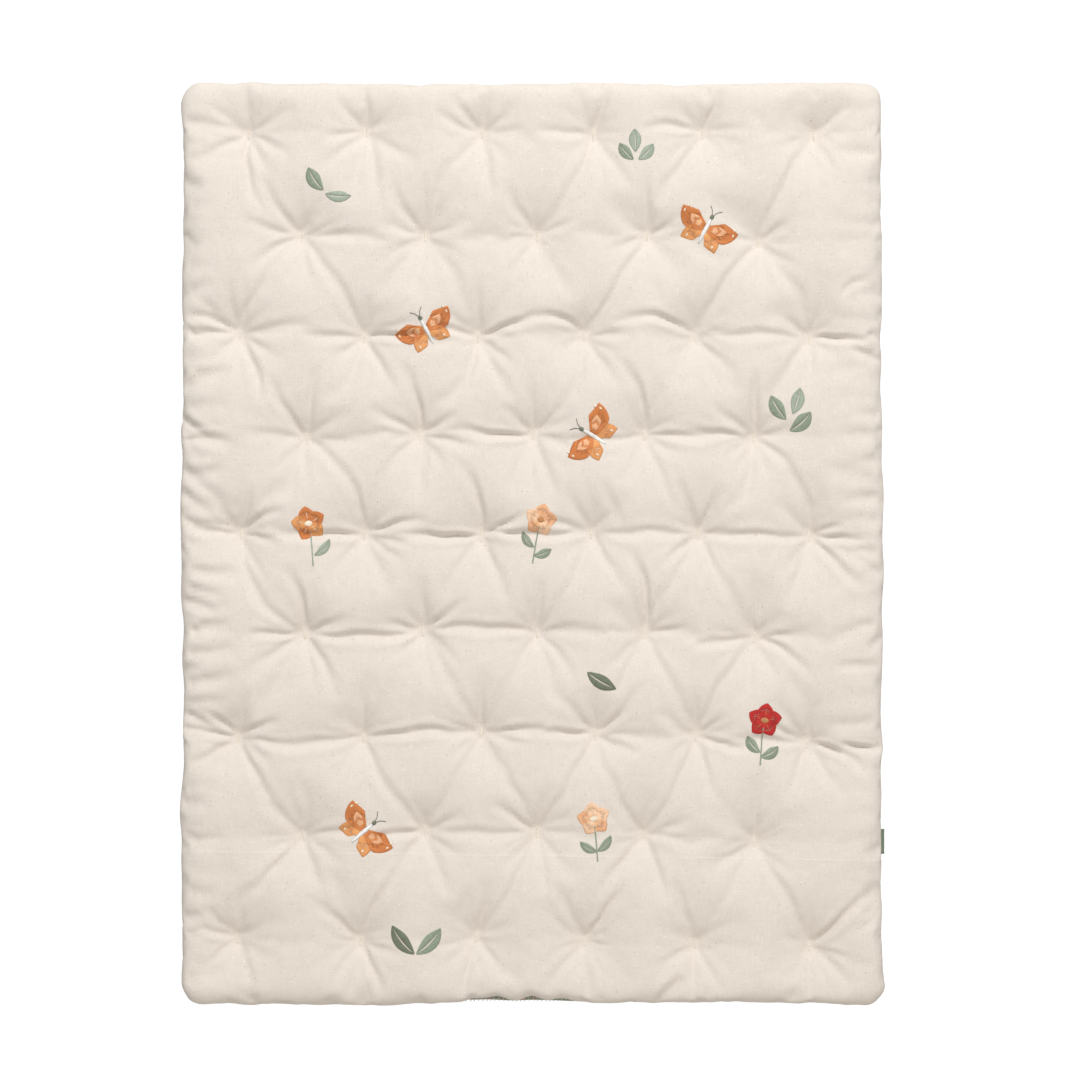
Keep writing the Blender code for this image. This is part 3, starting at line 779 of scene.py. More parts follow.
def backPoints():
    edgeRun = backing["curl"] + backing["turn"] - backing["roundInset"] - backing["lipInset"]
    place, s = roundedPlace(flatGrid(evenly(backing["cells"]), edgeRun), edgeRun, backInset, False)
    x, y = place.T
    a, b = rollAngles(s, backing["curl"], backing["turn"])
    z = quilt["seamHeight"] - (quilt["seamHeight"] - backing["lipHeight"]) * (1 - np.cos(a))
    z = backing["rest"] + (z - backing["rest"]) * (1 - np.sin(b))
    pull = np.zeros(len(x))
    for tack in tackPoints:
        pull += np.exp(-((tackAway(x, y, tack) / backing["dentReach"]) ** backing["dentFall"]))
    z += backing["dent"] * pull * np.sin(b)
    z += np.maximum(ripple(x, y, *rippleSets["back"]), 0.0) * backing["waver"] * np.sin(b)
    return np.column_stack((x, y, z))


def gridSides(cells, first):
    # the grid's four sides as lists of points, all running the same way round
    across, along = cells
    index = np.arange((across + 1) * (along + 1)).reshape(along + 1, across + 1) + first
    return index[0, :], index[:, -1], index[-1, ::-1], index[::-1, 0]


def seamStrip(fine, coarse):
    # triangles that join the front's rim to the back's, which has fewer points
    faces = []
    for a, b in zip(fine, coarse):
        i, j = 0, 0
        lastA, lastB = len(a) - 1, len(b) - 1
        while i < lastA or j < lastB:
            if j >= lastB or (i < lastA and (i + 1) * lastB <= (j + 1) * lastA):
                faces.append([int(v) for v in (a[i], a[i + 1], b[j])])
                i += 1
            else:
                faces.append([int(v) for v in (a[i], b[j + 1], b[j])])
                j += 1
    return faces


def quiltMesh():
    lines = [crowded(axis, count + 1) for axis, count in enumerate(quilt["cells"])]
    front = frontPoints(lines)[0]
    front = settledFront(front, lines)
    points = np.concatenate((front, backPoints())) + (matCentre.x, matCentre.y, 0.0)
    frontFaces = gridFaces(quilt["cells"]).tolist()
    backFaces = (gridFaces(backing["cells"])[:, ::-1] + len(front)).tolist()
    strip = seamStrip(gridSides(quilt["cells"], 0), gridSides(backing["cells"], len(front)))
    mesh = makeMesh("quilt", points, frontFaces + backFaces + strip)
    faceOutward(mesh)
    kinds = np.ones(len(mesh.polygons), np.int32)
    kinds[: len(frontFaces)] = 0
    mesh.polygons.foreach_set("material_index", kinds)
    mesh.shade_smooth()
    return mesh


def addPiece(name, mesh, slot, *nodes):
    piece = addObject(name, mesh)
    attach(piece, "root")
    if nodes:
        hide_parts(*nodes)
    return piece


cream = {
    "colour": (0.690, 0.627, 0.560),
    "fleck": (0.36, 0.235, 0.13),
    "nep": (0.86, 0.81, 0.74),
    "speckStrength": 0.55,
    "threadPitch": 0.00062,
    "threadHeight": 0.00006,
}

sage = {
    "colour": (0.245, 0.262, 0.205),
    "speck": (0.66, 0.25, 0.09),
    "speckStrength": 0.85,
    "threadPitch": 0.00055,
    "threadHeight": 0.00005,
}

# how light falls on the cotton and on the thread, by the shader's own sockets
clothSockets = {
    "Roughness": 0.92,
    "Sheen Weight": 0.12,
    "Sheen Roughness": 0.5,
    "Specular IOR Level": 0.2,
}
threadSockets = {
    "Roughness": 0.62,
    "Sheen Weight": 0.10,
    "Specular IOR Level": 0.3,
}

weaving = {
    "wanderScale": 240.0,
    "wander": 0.0009,
    "roundness": 0.8,
    "slubAcross": (170.0, 1700.0, 60.0),
    "slubAlong": (1500.0, 130.0, 60.0),
    "slubAlongShare": 0.97,
    "slubRelief": 1.6,
    "slubMiddle": 0.56,
    "slubTone": 0.30,
    "mottleScales": (14.0, 90.0),
    "mottleTone": 0.035,
    "weaveMiddle": 0.62,
    # painted shade: how much darker the weave's colour is where its threads dip, and lighter where they rise
    "weaveHollowShade": 0.10,
}

crumpling = {
    "scales": ((38.0, 1.0), (95.0, 0.45)),
    "roundness": 0.8,
    "relief": 0.00045,
}

flecking = {
    "bendScale": 300.0,
    "bend": 0.0022,
    "smallest": 0.4,
    "edge": 2.5,
}

# the line left where the mat was kept folded, in metres
keptFold = {
    "slope": 0.013,
    "below": 0.3360,
    "width": 0.0011,
    "breakScale": 30.0,
    "height": 0.00025,
    "tone": 0.25,
}

tape = {
    "colour": (0.150, 0.185, 0.125),
    "roughness": 0.7,
    "ribPitch": 0.0009,
    "ribHeight": 0.00010,
    # painted shade: how much darker the tape's colour is in the grooves between its ribs
    "ribShade": 0.16,
    "darker": 0.08,
    "weave": {"Pitch": 0.00035, "Relief": 0.00003},
}

strandLook = {
    "ownTone": 0.22,
    "noiseScale": 900.0,
    "noiseTone": 0.25,
    "twistStretch": (5200.0, 3100.0, 4000.0),
    "twistHeight": 0.00006,
}

threadColours = {
    "creamThread": (0.78, 0.71, 0.62),
    "rust": (0.58, 0.205, 0.062),
    "rustLight": (0.70, 0.325, 0.120),
    "white": (0.83, 0.83, 0.81),
    "sageThread": (0.285, 0.340, 0.255),
    "sagePale": (0.370, 0.425, 0.340),
    "sageDark": (0.175, 0.200, 0.140),
    "slate": (0.060, 0.062, 0.052),
    "peach": (0.760, 0.430, 0.240),
    "peachPale": (0.820, 0.560, 0.370),
    "red": (0.480, 0.024, 0.020),
    "tan": (0.520, 0.260, 0.110),
    "ivory": (0.86, 0.77, 0.62),
}


def calc(tree, operation, *values):
    return addNode(tree, "ShaderNodeMath", dict(enumerate(values)), operation=operation).outputs[0]


def newGroup(name, inputs, outputs):
    tree = bpy.data.node_groups.new(name, "ShaderNodeTree")
    for socket, value in inputs.items():
        made = tree.interface.new_socket(socket, in_out="INPUT", socket_type="NodeSocketFloat")
        made.default_value = value
    for socket in outputs:
        tree.interface.new_socket(socket, in_out="OUTPUT", socket_type="NodeSocketFloat")
    return tree, tree.nodes.new("NodeGroupInput"), tree.nodes.new("NodeGroupOutput")


def groupNode(tree, group, sockets=None):
    return addNode(tree, "ShaderNodeGroup", sockets, node_tree=group)


def placeOn(tree):
    place = addNode(tree, "ShaderNodeTexCoord").outputs["Object"]
    return place, addNode(tree, "ShaderNodeSeparateXYZ", {"Vector": place}).outputs


def offFrom(tree, value, middle, share, base):
    # base, plus that share of how far a value is from its middle
    return calc(tree, "MULTIPLY_ADD", calc(tree, "SUBTRACT", value, middle), share, base)


def noiseAt(tree, vector, scale, detail=2.0, stretch=(1.0, 1.0, 1.0)):
    place = addNode(tree, "ShaderNodeMapping", {"Vector": vector, "Scale": stretch}).outputs[0]
    sockets = {"Vector": place, "Scale": scale, "Detail": detail}
    return addNode(tree, "ShaderNodeTexNoise", sockets).outputs["Fac"]


def wovenGroup():
    # plain weave: each thread rises and dips over its neighbours, and its tone holds painted shade in the
    # dips; Pitch and Relief are in metres
    tree, given, result = newGroup("plainWeave", {"Pitch": 0.0006, "Relief": 0.00006}, ("ToneAndShade", "Height"))
    place, axes = placeOn(tree)
    wander = calc(tree, "SUBTRACT", noiseAt(tree, place, weaving["wanderScale"], 0.0), 0.5)
    drift = calc(tree, "MULTIPLY", wander, weaving["wander"])
    u = calc(tree, "DIVIDE", calc(tree, "ADD", axes["X"], drift), given.outputs["Pitch"])
    v = calc(tree, "DIVIDE", calc(tree, "SUBTRACT", axes["Y"], drift), given.outputs["Pitch"])
    heights = []
    for a, b, turn in ((u, v, 0.0), (v, u, 1.0)):
        wave = calc(tree, "ABSOLUTE", calc(tree, "SINE", calc(tree, "MULTIPLY", a, math.pi)))
        across = calc(tree, "POWER", wave, weaving["roundness"])
        phase = calc(tree, "ADD", calc(tree, "ADD", b, calc(tree, "FLOOR", a)), turn)
        cosine = calc(tree, "COSINE", calc(tree, "MULTIPLY", phase, math.pi))
        over = calc(tree, "MULTIPLY_ADD", cosine, 0.5, 0.5)
        heights.append(calc(tree, "MULTIPLY", across, over))
    weave = calc(tree, "MAXIMUM", *heights)
    slubAcross = noiseAt(tree, place, 1.0, 1.0, weaving["slubAcross"])
    slubAlong = noiseAt(tree, place, 1.0, 1.0, weaving["slubAlong"])
    slub = calc(tree, "MAXIMUM", slubAcross, calc(tree, "MULTIPLY", slubAlong, weaving["slubAlongShare"]))
    relief = calc(tree, "ADD", weave, calc(tree, "MULTIPLY", slub, weaving["slubRelief"]))
    tree.links.new(calc(tree, "MULTIPLY", relief, given.outputs["Relief"]), result.inputs["Height"])
    large, small = weaving["mottleScales"]
    mottle = calc(tree, "ADD", noiseAt(tree, place, large, 3.0), noiseAt(tree, place, small, 2.0))
    tone = offFrom(tree, slub, weaving["slubMiddle"], weaving["slubTone"], 1.0)
    tone = offFrom(tree, mottle, 1.0, weaving["mottleTone"], tone)
    # painted shade: the weave's colour darkens where its threads dip and lightens where they rise
    tone = offFrom(tree, weave, weaving["weaveMiddle"], weaving["weaveHollowShade"], tone)
    tree.links.new(tone, result.inputs["ToneAndShade"])
    return tree


def creaseGroup():
    # faint soft crumples left in washed cotton, in metres
    tree, given, result = newGroup("crumples", {"Relief": crumpling["relief"]}, ("Height",))
    place = addNode(tree, "ShaderNodeTexCoord").outputs["Object"]
    ridges = []
    for scale, share in crumpling["scales"]:
        ridge = calc(tree, "ABSOLUTE", calc(tree, "SUBTRACT", noiseAt(tree, place, scale, 1.0), 0.5))
        ridges.append(calc(tree, "MULTIPLY", calc(tree, "POWER", ridge, crumpling["roundness"]), share))
    both = calc(tree, "ADD", *ridges)
    tree.links.new(calc(tree, "MULTIPLY", both, given.outputs["Relief"]), result.inputs["Height"])
    return tree


def fleckGroup():
    # sparse specks: Spacing and Size are in metres, and Share is how many of the cells hold one
    inputs = {"Spacing": 0.008, "Size": 0.0005, "Share": 0.5, "Shift": 0.0, "Slim": 1.0}
    tree, given, result = newGroup("flecks", inputs, ("Mask",))
    place, axes = placeOn(tree)
    noise = noiseAt(tree, place, flecking["bendScale"], 0.0)
    bend = offFrom(tree, noise, 0.5, flecking["bend"], given.outputs["Shift"])
    x = calc(tree, "ADD", axes["X"], bend)
    y = calc(tree, "MULTIPLY", calc(tree, "ADD", axes["Y"], bend), given.outputs["Slim"])
    spot = addNode(tree, "ShaderNodeCombineXYZ", {"X": x, "Y": y}).outputs[0]
    scale = calc(tree, "DIVIDE", 1.0, given.outputs["Spacing"])
    cell = addNode(tree, "ShaderNodeTexVoronoi", {"Vector": spot, "Scale": scale}, voronoi_dimensions="2D")
    kind = addNode(tree, "ShaderNodeSeparateColor", {"Color": cell.outputs["Color"]})
    grown = calc(tree, "ADD", kind.outputs["Green"], flecking["smallest"])
    size = calc(tree, "MULTIPLY", calc(tree, "MULTIPLY", given.outputs["Size"], scale), grown)
    inside = calc(tree, "SUBTRACT", 1.0, calc(tree, "DIVIDE", cell.outputs["Distance"], size))
    inside = addNode(tree, "ShaderNodeClamp", {"Value": calc(tree, "MULTIPLY", inside, flecking["edge"])})
    chosen = calc(tree, "LESS_THAN", kind.outputs["Red"], given.outputs["Share"])
    tree.links.new(calc(tree, "MULTIPLY", inside.outputs[0], chosen), result.inputs["Mask"])
    return tree


def mixColour(tree, mask, first, second, blend="MIX"):
    # sockets 0, 6 and 7 are the share and the two colours
    made = addNode(tree, "ShaderNodeMix", None, data_type="RGBA", blend_type=blend)
    first, second = ((*value, 1.0) if isinstance(value, tuple) else value for value in (first, second))
    return setSockets(tree, made, {0: mask, 6: first, 7: second}).outputs[2]


def bumped(tree, height):
    return addNode(tree, "ShaderNodeBump", {"Height": height, "Distance": 1.0}).outputs["Normal"]


weaveGroup = wovenGroup()
crumpleGroup = creaseGroup()
speckGroup = fleckGroup()


def clothMaterial(name, kind, speckled, creased):
    material, tree, shader = newMaterial(name)
    weave = groupNode(tree, weaveGroup, {"Pitch": kind["threadPitch"], "Relief": kind["threadHeight"]})
    colour = kind["colour"]
    for tint, sockets in speckled:
        mask = groupNode(tree, speckGroup, sockets).outputs["Mask"]
        colour = mixColour(tree, calc(tree, "MULTIPLY", mask, kind["speckStrength"]), colour, tint)
    # the weave's tone, with its painted shade in the threads' dips
    colour = mixColour(tree, 1.0, colour, weave.outputs["ToneAndShade"], "MULTIPLY")
    height = calc(tree, "ADD", weave.outputs["Height"], groupNode(tree, crumpleGroup).outputs["Height"])
    if creased:
        place, axes = placeOn(tree)
        line = calc(tree, "MULTIPLY_ADD", axes["X"], keptFold["slope"], axes["Y"])
        away = calc(tree, "DIVIDE", calc(tree, "ADD", line, keptFold["below"]), keptFold["width"])
        press = calc(tree, "EXPONENT", calc(tree, "MULTIPLY", calc(tree, "MULTIPLY", away, away), -1.0))
        press = calc(tree, "MULTIPLY", press, noiseAt(tree, place, keptFold["breakScale"], 0.0))
        height = calc(tree, "MULTIPLY_ADD", press, keptFold["height"], height)
        colour = mixColour(tree, calc(tree, "MULTIPLY", press, keptFold["tone"]), colour, kind["nep"])
    setSockets(tree, shader, {"Base Color": colour, "Normal": bumped(tree, height), **clothSockets})
    return material


def threadMaterial(name, colour):
    # each strand is a little lighter or darker than the next
    material, tree, shader = newMaterial(name)
    own = addNode(tree, "ShaderNodeAttribute", attribute_name="strand").outputs["Fac"]
    place = addNode(tree, "ShaderNodeTexCoord").outputs["Object"]
    tone = offFrom(tree, own, 0.5, strandLook["ownTone"], 1.0)
    tone = offFrom(tree, noiseAt(tree, place, strandLook["noiseScale"]), 0.5, strandLook["noiseTone"], tone)
    twist = noiseAt(tree, place, 1.0, 1.0, strandLook["twistStretch"])
    normal = bumped(tree, calc(tree, "MULTIPLY", twist, strandLook["twistHeight"]))
    colour = mixColour(tree, 1.0, colour, tone, "MULTIPLY")
    setSockets(tree, shader, {"Base Color": colour, "Normal": normal, **threadSockets})
    return material


def tapeMaterial():
    material, tree, shader = newMaterial("greenTape")
    turn = calc(tree, "MULTIPLY", placeOn(tree)[1]["Y"], 2 * math.pi / tape["ribPitch"])
    rib = calc(tree, "MULTIPLY_ADD", calc(tree, "SINE", turn), 0.5, 0.5)
    weave = groupNode(tree, weaveGroup, tape["weave"]).outputs
    dim = calc(tree, "SUBTRACT", weave["ToneAndShade"], tape["darker"])
    # painted shade: darker in the grooves between the ribs and lighter on them, over the weave's painted
    # shade
    tone = calc(tree, "MULTIPLY_ADD", rib, tape["ribShade"], dim)
    colour = mixColour(tree, 1.0, tape["colour"], tone, "MULTIPLY")
    normal = bumped(tree, calc(tree, "MULTIPLY_ADD", rib, tape["ribHeight"], weave["Height"]))
    setSockets(tree, shader, {"Base Color": colour, "Normal": normal, "Roughness": tape["roughness"]})
    return material


creamFlecks = (
    (cream["fleck"], {"Spacing": 0.0068, "Size": 0.00034, "Share": 0.42, "Slim": 0.6}),
    (cream["fleck"], {"Spacing": 0.0190, "Size": 0.00062, "Share": 0.5, "Shift": 0.37, "Slim": 1.7}),
    (cream["nep"], {"Spacing": 0.0120, "Size": 0.00068, "Share": 0.55, "Shift": 0.71, "Slim": 1.0}),
)
sageSpecks = ((sage["speck"], {"Spacing": 0.0062, "Size": 0.00125, "Share": 0.8, "Slim": 1.0}),)

creamCloth = clothMaterial("creamCotton", cream, creamFlecks, True)
sageCloth = clothMaterial("sageCotton", sage, sageSpecks, False)
greenTape = tapeMaterial()
threads = {name: threadMaterial(name, colour) for name, colour in threadColours.items()}
print("materials made")

quiltPiece = addPiece("quilt", quiltMesh(), "cotton", "mat")
quiltPiece.data.materials.append(creamCloth)
quiltPiece.data.materials.append(sageCloth)
quiltTree = BVHTree.FromObject(quiltPiece, bpy.context.evaluated_depsgraph_get())
print(f"quilt made, {len(quiltPiece.data.vertices)} points")


thread = {
    "sides": 5,
    "span": 0.0032,  # the longest straight stretch, so that a strand follows the cloth
    "flatten": 0.8,
    "taper": 0.55,
    "sink": 0.00030,
}


def onQuilt(x, y, under=False):
    start = Vector((x, y, -0.2 if under else 0.2))
    hit = quiltTree.ray_cast(start, Vector((0.0, 0.0, 1.0 if under else -1.0)))
    return hit[0] if hit[0] else Vector((x, y, 0.008))


def laid(path, lift, steps, under=False):
    # a strand from one end of a path to the other, lying on the quilt and raised between its tucked ends
    path = np.array(path, dtype=float)
    run = np.concatenate(((0.0,), np.cumsum(np.hypot(*np.diff(path, axis=0).T))))
    t = np.linspace(0.0, 1.0, max(steps, int(run[-1] / thread["span"]) + 2))
    x = np.interp(t * run[-1], run, path[:, 0])
    y = np.interp(t * run[-1], run, path[:, 1])
    z = np.array([onQuilt(a, b, under).z for a, b in zip(x, y)])
    rise = lift * np.sin(math.pi * t) ** 0.5 - thread["sink"] * (np.abs(t - 0.5) > 0.499)
    return np.column_stack((x, y, z - rise if under else z + rise))


def strandMesh(name, strands):
    # strands are (points, radius, colour name)
    dice = random.Random(len(strands))
    sides = thread["sides"]
    turn = np.arange(sides) * 2 * math.pi / sides + math.pi / 2
    points, faces, kinds, tones = [], [], [], []
    names = sorted({colour for _, _, colour in strands})
    first = 0
    for path, radius, colour in strands:
        count = len(path)
        ahead = np.gradient(path, axis=0)
        ahead /= np.maximum(np.linalg.norm(ahead, axis=1, keepdims=True), 1e-9)
        aside = np.cross((0.0, 0.0, 1.0), ahead)
        aside /= np.maximum(np.linalg.norm(aside, axis=1, keepdims=True), 1e-9)
        up = np.cross(ahead, aside)
        taper = np.ones(count)
        taper[0] = taper[-1] = thread["taper"]
        ring = np.cos(turn)[None, :, None] * aside[:, None, :]
        ring = ring + np.sin(turn)[None, :, None] * up[:, None, :] * thread["flatten"]
        ring = path[:, None, :] + ring * (radius * taper)[:, None, None]
        points.append(ring.reshape(-1, 3))
        for i in range(count - 1):
            for j in range(sides):
                a, b = first + i * sides + j, first + i * sides + (j + 1) % sides
                faces.append((a, b, b + sides, a + sides))
        faces.append(tuple(range(first + sides - 1, first - 1, -1)))
        faces.append(tuple(range(first + (count - 1) * sides, first + count * sides)))
        kinds += [names.index(colour)] * ((count - 1) * sides + 2)
        tones += [dice.random()] * (count * sides)
        first += count * sides
    mesh = makeMesh(name, np.concatenate(points), faces)
    mesh.attributes.new("strand", "FLOAT", "POINT").data.foreach_set("value", tones)
    for colour in names:
        mesh.materials.append(threads[colour])
    mesh.polygons.foreach_set("material_index", kinds)
    mesh.shade_smooth()
    return mesh


tackThread = {
    "height": 0.0112,
    "width": 0.0024,
    "lean": 0.0006,
    "tilt": 0.0001,
    "pitch": 0.00050,
    "radius": 0.00027,
    "lift": 0.00045,
}


def tackStrands(under):
    dice = random.Random(5 + under)
    strands = []
    for tx, ty in tackPoints + (matCentre.x, matCentre.y):
        height = tackThread["height"] * dice.uniform(0.88, 1.1)
        lean = dice.uniform(-tackThread["lean"], tackThread["lean"])
        count = int(height / tackThread["pitch"])
        for number in range(count):
            t = (number + 0.5) / count - 0.5
            half = tackThread["width"] / 2 * dice.uniform(0.88, 1.08)
            x, y = tx + lean * t * 2, ty + t * height
            ends = ((x - half, y - tackThread["tilt"]), (x + half, y + tackThread["tilt"]))
            strands.append((laid(ends, tackThread["lift"], 4, under), tackThread["radius"], "creamThread"))
    return strands


addPiece("tackThreads", strandMesh("tackThreads", tackStrands(False)), None)
addPiece("tackThreadsUnder", strandMesh("tackThreadsUnder", tackStrands(True)), None)
print("tacks sewn")


closing = {
    "from": -0.082,
    "to": 0.072,
    "step": 0.0046,
    "radius": 0.00030,
    "length": (0.0012, 0.0020),
    "rolled": 0.0008,
    # across the seam in millimetres: how far in from it and how high each point of a stitch is
    "stitch": ((3.4, 9.3), (0.4, 9.1), (-1.6, 7.6), (-0.8, 5.6), (2.0, 4.4)),
}


def closingStrands():
    # the turning opening, sewn shut by hand under the foot's edge
    dice = random.Random(9)
    strands = []
    x = closing["from"]
    edge = matCentre.y - quilt["length"] / 2
    while x < closing["to"]:
        across = np.linspace(x, x + dice.uniform(*closing["length"]), len(closing["stitch"]))
        foot = np.array([edge + quilt["seamInset"] + inside * milli for inside, up in closing["stitch"]])
        heights = np.array([up for inside, up in closing["stitch"]]) * milli
        off = footRoll(np.array([x]))[0] / quilt["footRollInset"]
        path = np.column_stack((across + matCentre.x, foot + closing["rolled"] * off, heights))
        strands.append((path, closing["radius"], "creamThread"))
        x += closing["step"] * dice.uniform(0.85, 1.15)
    return strands


addPiece("closingStitches", strandMesh("closingStitches", closingStrands()), None)


label = {
    "layer": 0.00050,
    "gap": 0.00012,
    "hidden": 0.0065,
    "shown": 0.0034,
    "round": 10,
    "cells": 16,
    "sag": 0.0007,
    "push": 0.00012,
}


def labelMesh():
    # a plain tape folded over on itself, with both ends caught in the seam
    low, high = Vector(labelLow), Vector(labelHigh)
    middle = (low.z + high.z) / 2
    outer = high.x
    inner = high.x - label["hidden"] - label["shown"]
    small = label["gap"] / 2
    bend = label["layer"] + small
    turns = np.linspace(math.pi / 2, -math.pi / 2, label["round"])
    loop = [(inner, bend), (outer - bend, bend)]
    loop += [(outer - bend + bend * math.cos(a), bend * math.sin(a)) for a in turns[1:-1]]
    loop += [(outer - bend, -bend), (inner, -bend), (inner, -small), (outer - bend, -small)]
    loop += [(outer - bend + small * math.cos(a), small * math.sin(a)) for a in (-0.7, 0.7)]
    loop += [(outer - bend, small), (inner, small)]
    count = len(loop)
    points, faces = [], []
    dice = random.Random(2)
    for row in range(label["cells"] + 1):
        t = row / label["cells"]
        y = low.y + (high.y - low.y) * t
        droop = -label["sag"] * (0.6 + 0.8 * math.sin(3.1 * t + 0.4)) * 0.5
        push = dice.uniform(-label["push"], label["push"])
        for x, z in loop:
            out = max(0.0, (x - (outer - label["shown"])) / label["shown"])
            points.append((x + push * out, y, middle + z + droop * out))
    for row in range(label["cells"]):
        for i in range(count):
            j = (i + 1) % count
            a, b = row * count, (row + 1) * count
            faces.append((a + i, a + j, b + j, b + i))
    faces.append(tuple(range(count)))
    faces.append(tuple(range(len(points) - 1, len(points) - count - 1, -1)))
    mesh = makeMesh("label", points, faces)
    faceOutward(mesh)
    mesh.materials.append(greenTape)
    return mesh


addPiece("label", labelMesh(), "tape", "label")
print("label sewn in")


stitching = {
    "pitch": 0.00046,
    "radius": 0.00027,
    "lift": 0.00055,
    "wingLift": 0.00085,
    "overLift": 0.00095,
    "patchLift": 0.00120,
    "spotLift": 0.00125,
    "bodyLift": 0.00135,
}

leafShape = {
    "slant": 0.55,
    "blunt": 0.8,
    "fullness": 1.12,
    "overlap": 0.15,
}


def bentSpine(start, end, bend):
    # a curve from start to end that bows to its left by that part of its length
    start, end = np.array(start, dtype=float), np.array(end, dtype=float)
    along = end - start
    left = np.array((-along[1], along[0]))

    def at(t):
        t = np.asarray(t, dtype=float)
        return start + np.multiply.outer(t, along) + np.multiply.outer(4 * bend * t * (1 - t), left)

    def aside(t):
        step = at(min(t + 0.01, 1.0)) - at(max(t - 0.01, 0.0))
        step /= np.linalg.norm(step)
        return step, np.array((-step[1], step[0]))

    return at, aside, float(np.linalg.norm(along))


def leafStrands(start, end, width, colour, bend):
    # satin stitches that fan from the midrib to both edges
    at, aside, length = bentSpine(start, end, bend)
    strands = []
    count = max(6, int(length * milli / stitching["pitch"] / 1.15))
    for number in range(count):
        t = (number + 0.3) / count
        half = width / 2 * leafShape["fullness"] * math.sin(math.pi * t ** leafShape["blunt"]) ** 0.8
        if half * milli < 0.0003:
            continue
        ahead, left = aside(t)
        middle = at(t)
        for side in (-1, 1):
            tip = middle + (left * side + ahead * leafShape["slant"] * (1 - 0.5 * t)) * half
            strands.append(stitch((middle - left * side * leafShape["overlap"], tip), "lift", 5, colour))
    return strands


def stitch(path, lift, steps, colour):
    # one stitch along a path in millimetres, at one of the heights that are named above
    return laid(toMetres(path), stitching[lift], steps), stitching["radius"], colour


def toMetres(path):
    return np.array(path, dtype=float) * milli + (matCentre.x, matCentre.y)


def lineStrands(path, colour, step, lift="lift"):
    # stem stitch: short strands that overlap along a line
    path = np.array(path, dtype=float)
    run = np.concatenate(((0.0,), np.cumsum(np.hypot(*np.diff(path, axis=0).T))))
    strands = []
    place = 0.0
    while place < run[-1] - 0.6:
        ends = np.linspace(place, min(place + step, run[-1]), 3)
        part = np.column_stack((np.interp(ends, run, path[:, 0]), np.interp(ends, run, path[:, 1])))
        aside = np.array((-(part[-1] - part[0])[1], (part[-1] - part[0])[0])) / max(step, 0.1) * 0.12
        strands.append(stitch(part + (aside, (0, 0), -aside), lift, 5, colour))
        place += step * 0.62
    return strands


def petalStrands(root, tip, width, colour, bend, seed, lift="lift"):
    # long stitches that run from the root to the rim, each split once
    at, aside, length = bentSpine(root, tip, bend)
    dice = random.Random(seed)
    run = np.linspace(0, 1, 5)
    strands = []
    count = max(5, int(width * milli / stitching["pitch"] * 1.1))
    for number in range(count):
        v = (number + 0.5) / count * 2 - 1
        reach = (1 - abs(v) ** 2.2) * 0.52 + 0.48 * (1 - abs(v))
        path = []
        for t in np.linspace(0.0, 0.55 + 0.45 * reach, 5):
            half = width / 2 * math.sin(math.pi * min(t * 0.62 + 0.06, 1.0)) ** 0.8
            path.append(at(float(t)) + aside(float(t))[1] * v * half)
        path = np.array(path)
        cut = dice.uniform(0.40, 0.62)
        for low, high in ((0.0, cut + 0.05), (cut, 1.0)):
            part = [np.interp(np.linspace(low, high, 4), run, path[:, axis]) for axis in (0, 1)]
            strands.append(stitch(np.column_stack(part), lift, 5, colour))
    return strands


def turned(points, place, angle, size):
    c, s = math.cos(math.radians(angle)), math.sin(math.radians(angle))
    points = np.array(points, dtype=float) * size
    return points @ np.array(((c, s), (-s, c))) + place


def satinStrands(put, middle, half, colour, lift, size):
    # satin stitches side by side across an oval, half as long and half as broad as given
    strands = []
    for x in np.arange(-half[0], half[0], stitching["pitch"] / milli / size):
        reach = half[1] * math.sqrt(1 - (x / half[0]) ** 2) + 0.15
        path = put((middle[0] + x, middle[1] - reach), (middle[0] + x, middle[1] + reach))
        strands.append(stitch(path, lift, 4, colour))
    return strands


def putAs(kind):
    # a function that turns, sizes and places a motif's points
    def put(*points):
        return turned(points, np.array(kind["place"], dtype=float), kind["angle"], kind["size"])

    return put


def blossomStrands(kind):
    # a plain round blossom of five petals on a stem
    put, size = putAs(kind), kind["size"]
    strands = []
    for number in range(5):
        turn = math.radians(90 + 72 * number)
        out = np.array((math.cos(turn), math.sin(turn)))
        shade = kind["front"] if number % 2 else kind["petals"]
        strands += petalStrands(*put(out * 1.5, out * 17), 15 * size, shade, 0.03, 3 + number)
        strands += lineStrands(put(out * 4.4, out * 9.6), kind["heart"], 2.6, "overLift")
    strands += satinStrands(put, (0, 0), (3.7, 3.7), kind["heart"], "overLift", size)
    stem = put((0, -4), (kind["sway"] * 0.3, -20), (kind["sway"], -14 - kind["stem"]))
    for shift in (-0.45, 0.0, 0.45):
        strands += lineStrands(stem + (shift, 0), kind["green"], 3.4)
    for start, end, width, bend in kind["leaves"]:
        strands += leafStrands(*put(start, end), width * size, kind["green"], bend)
    return strands


# the wings of one side, in millimetres: root, tip, breadth, colour, bow, height and seed
butterflyWings = (
    ((-2.0, 1.6), (-18, 20), 17, "rustLight", -0.06, "lift", 11),
    ((2.5, 1.6), (13, 33), 23, "rust", 0.10, "wingLift", 12),
    ((3.0, 5.0), (9.5, 22), 10, "peach", 0.08, "patchLift", 13),
)
butterflySpots = ((14.5, 27.5), (8.5, 28.5), (-13.0, 14.5))


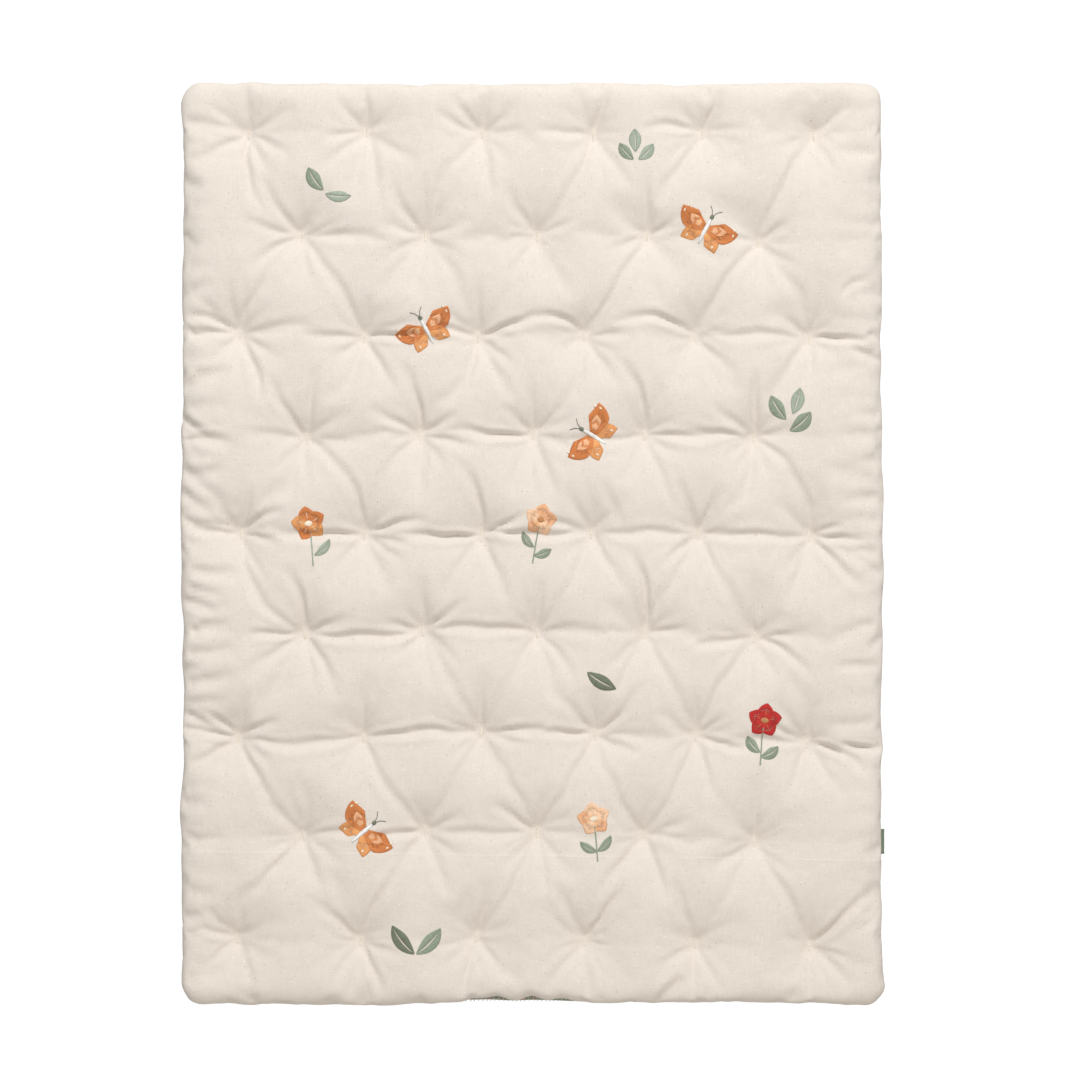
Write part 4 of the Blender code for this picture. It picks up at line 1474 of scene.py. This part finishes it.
def butterflyStrands(kind):
    # a plain butterfly seen from above, with its head along +x before it is turned
    put, size = putAs(kind), kind["size"]
    strands = []
    for side in (-1, 1):
        for root, tip, width, shade, bow, lift, seed in butterflyWings:
            ends = put((root[0], root[1] * side), (tip[0], tip[1] * side))
            strands += petalStrands(*ends, width * size, shade, bow * side, seed, lift)
        for x, y in butterflySpots:
            strands += satinStrands(put, (x, y * side), (1.5, 1.5), "ivory", "spotLift", size)
        feeler = put((16, 0.5 * side), (21, 2.6 * side), (25, 7.0 * side))
        strands += lineStrands(feeler, "slate", 2.6)
    strands += satinStrands(put, (-1, 0), (14, 2.5), "white", "bodyLift", size)
    strands += satinStrands(put, (14.6, 0), (2.6, 2.3), "sageDark", "bodyLift", size)
    return strands


# in millimetres from the mat's middle: where each leaf starts and ends, its width, colour and bend
leafGroups = {
    "leafPairTop": (
        ((-225, 381), (-241, 405), 15, "sageThread", 0.08),
        ((-223, 377), (-195, 375), 12, "sagePale", -0.08),
    ),
    "sprigTop": (
        ((111, 422), (110, 447), 13, "sagePale", 0.0),
        ((109, 414), (94, 432), 12, "sageThread", 0.08),
        ((114, 414), (130, 431), 12, "sagePale", -0.08),
    ),
    "sprigRight": (
        ((280, 140), (288, 168), 14, "sagePale", -0.04),
        ((273, 134), (257, 160), 15, "sageThread", 0.06),
        ((277, 122), (299, 142), 16, "sageThread", -0.08),
    ),
    "leafAlone": (((59, -138), (90, -156), 15, "sageDark", -0.05),),
    "leafPairFoot": (
        ((-127, -441), (-151, -411), 16, "sageDark", 0.07),
        ((-125, -441), (-99, -414), 16, "sageThread", -0.07),
    ),
}

blossoms = {
    "blossomRust": {
        "place": (-241, 22), "angle": 12, "size": 1.15,
        "petals": "rust", "front": "rustLight", "heart": "ivory",
        "stem": 26, "sway": -4, "green": "sagePale", "leaves": (((-1, -30), (16, -18), 8, -0.12),),
    },
    "blossomPeach": {
        "place": (9, 26), "angle": -16, "size": 1.08,
        "petals": "peach", "front": "peachPale", "heart": "tan",
        "stem": 30, "sway": 4, "green": "sageThread",
        "leaves": (((1, -28), (-14, -16), 8, 0.12), ((3, -36), (18, -25), 9, -0.10)),
    },
    "blossomPale": {
        "place": (66, -296), "angle": 8, "size": 1.12,
        "petals": "peachPale", "front": "peach", "heart": "ivory",
        "stem": 27, "sway": -2, "green": "sageThread",
        "leaves": (((-1, -31), (-16, -20), 8, 0.12), ((-1, -31), (14, -18), 8, -0.12)),
    },
    "blossomRed": {
        "place": (250, -190), "angle": -10, "size": 1.15,
        "petals": "red", "front": "red", "heart": "tan",
        "stem": 28, "sway": 3, "green": "sageThread",
        "leaves": (((1, -30), (-13, -17), 10, 0.12), ((2, -34), (17, -22), 10, -0.12)),
    },
}

butterflies = {
    "butterflyTop": {"place": (186, 338), "angle": 62, "size": 1.04},
    "butterflyHigh": {"place": (-114, 230), "angle": 118, "size": 1.0},
    "butterflyMiddle": {"place": (66, 116), "angle": 150, "size": 1.04},
    "butterflyLow": {"place": (-182, -310), "angle": 40, "size": 1.04},
}

for name, leaves in leafGroups.items():
    strands = [strand for leaf in leaves for strand in leafStrands(*leaf)]
    addPiece(name, strandMesh(name, strands), None)
for motifs, strandsOf in ((blossoms, blossomStrands), (butterflies, butterflyStrands)):
    for name, kind in motifs.items():
        addPiece(name, strandMesh(name, strandsOf(kind)), None)
print("embroidery sewn")
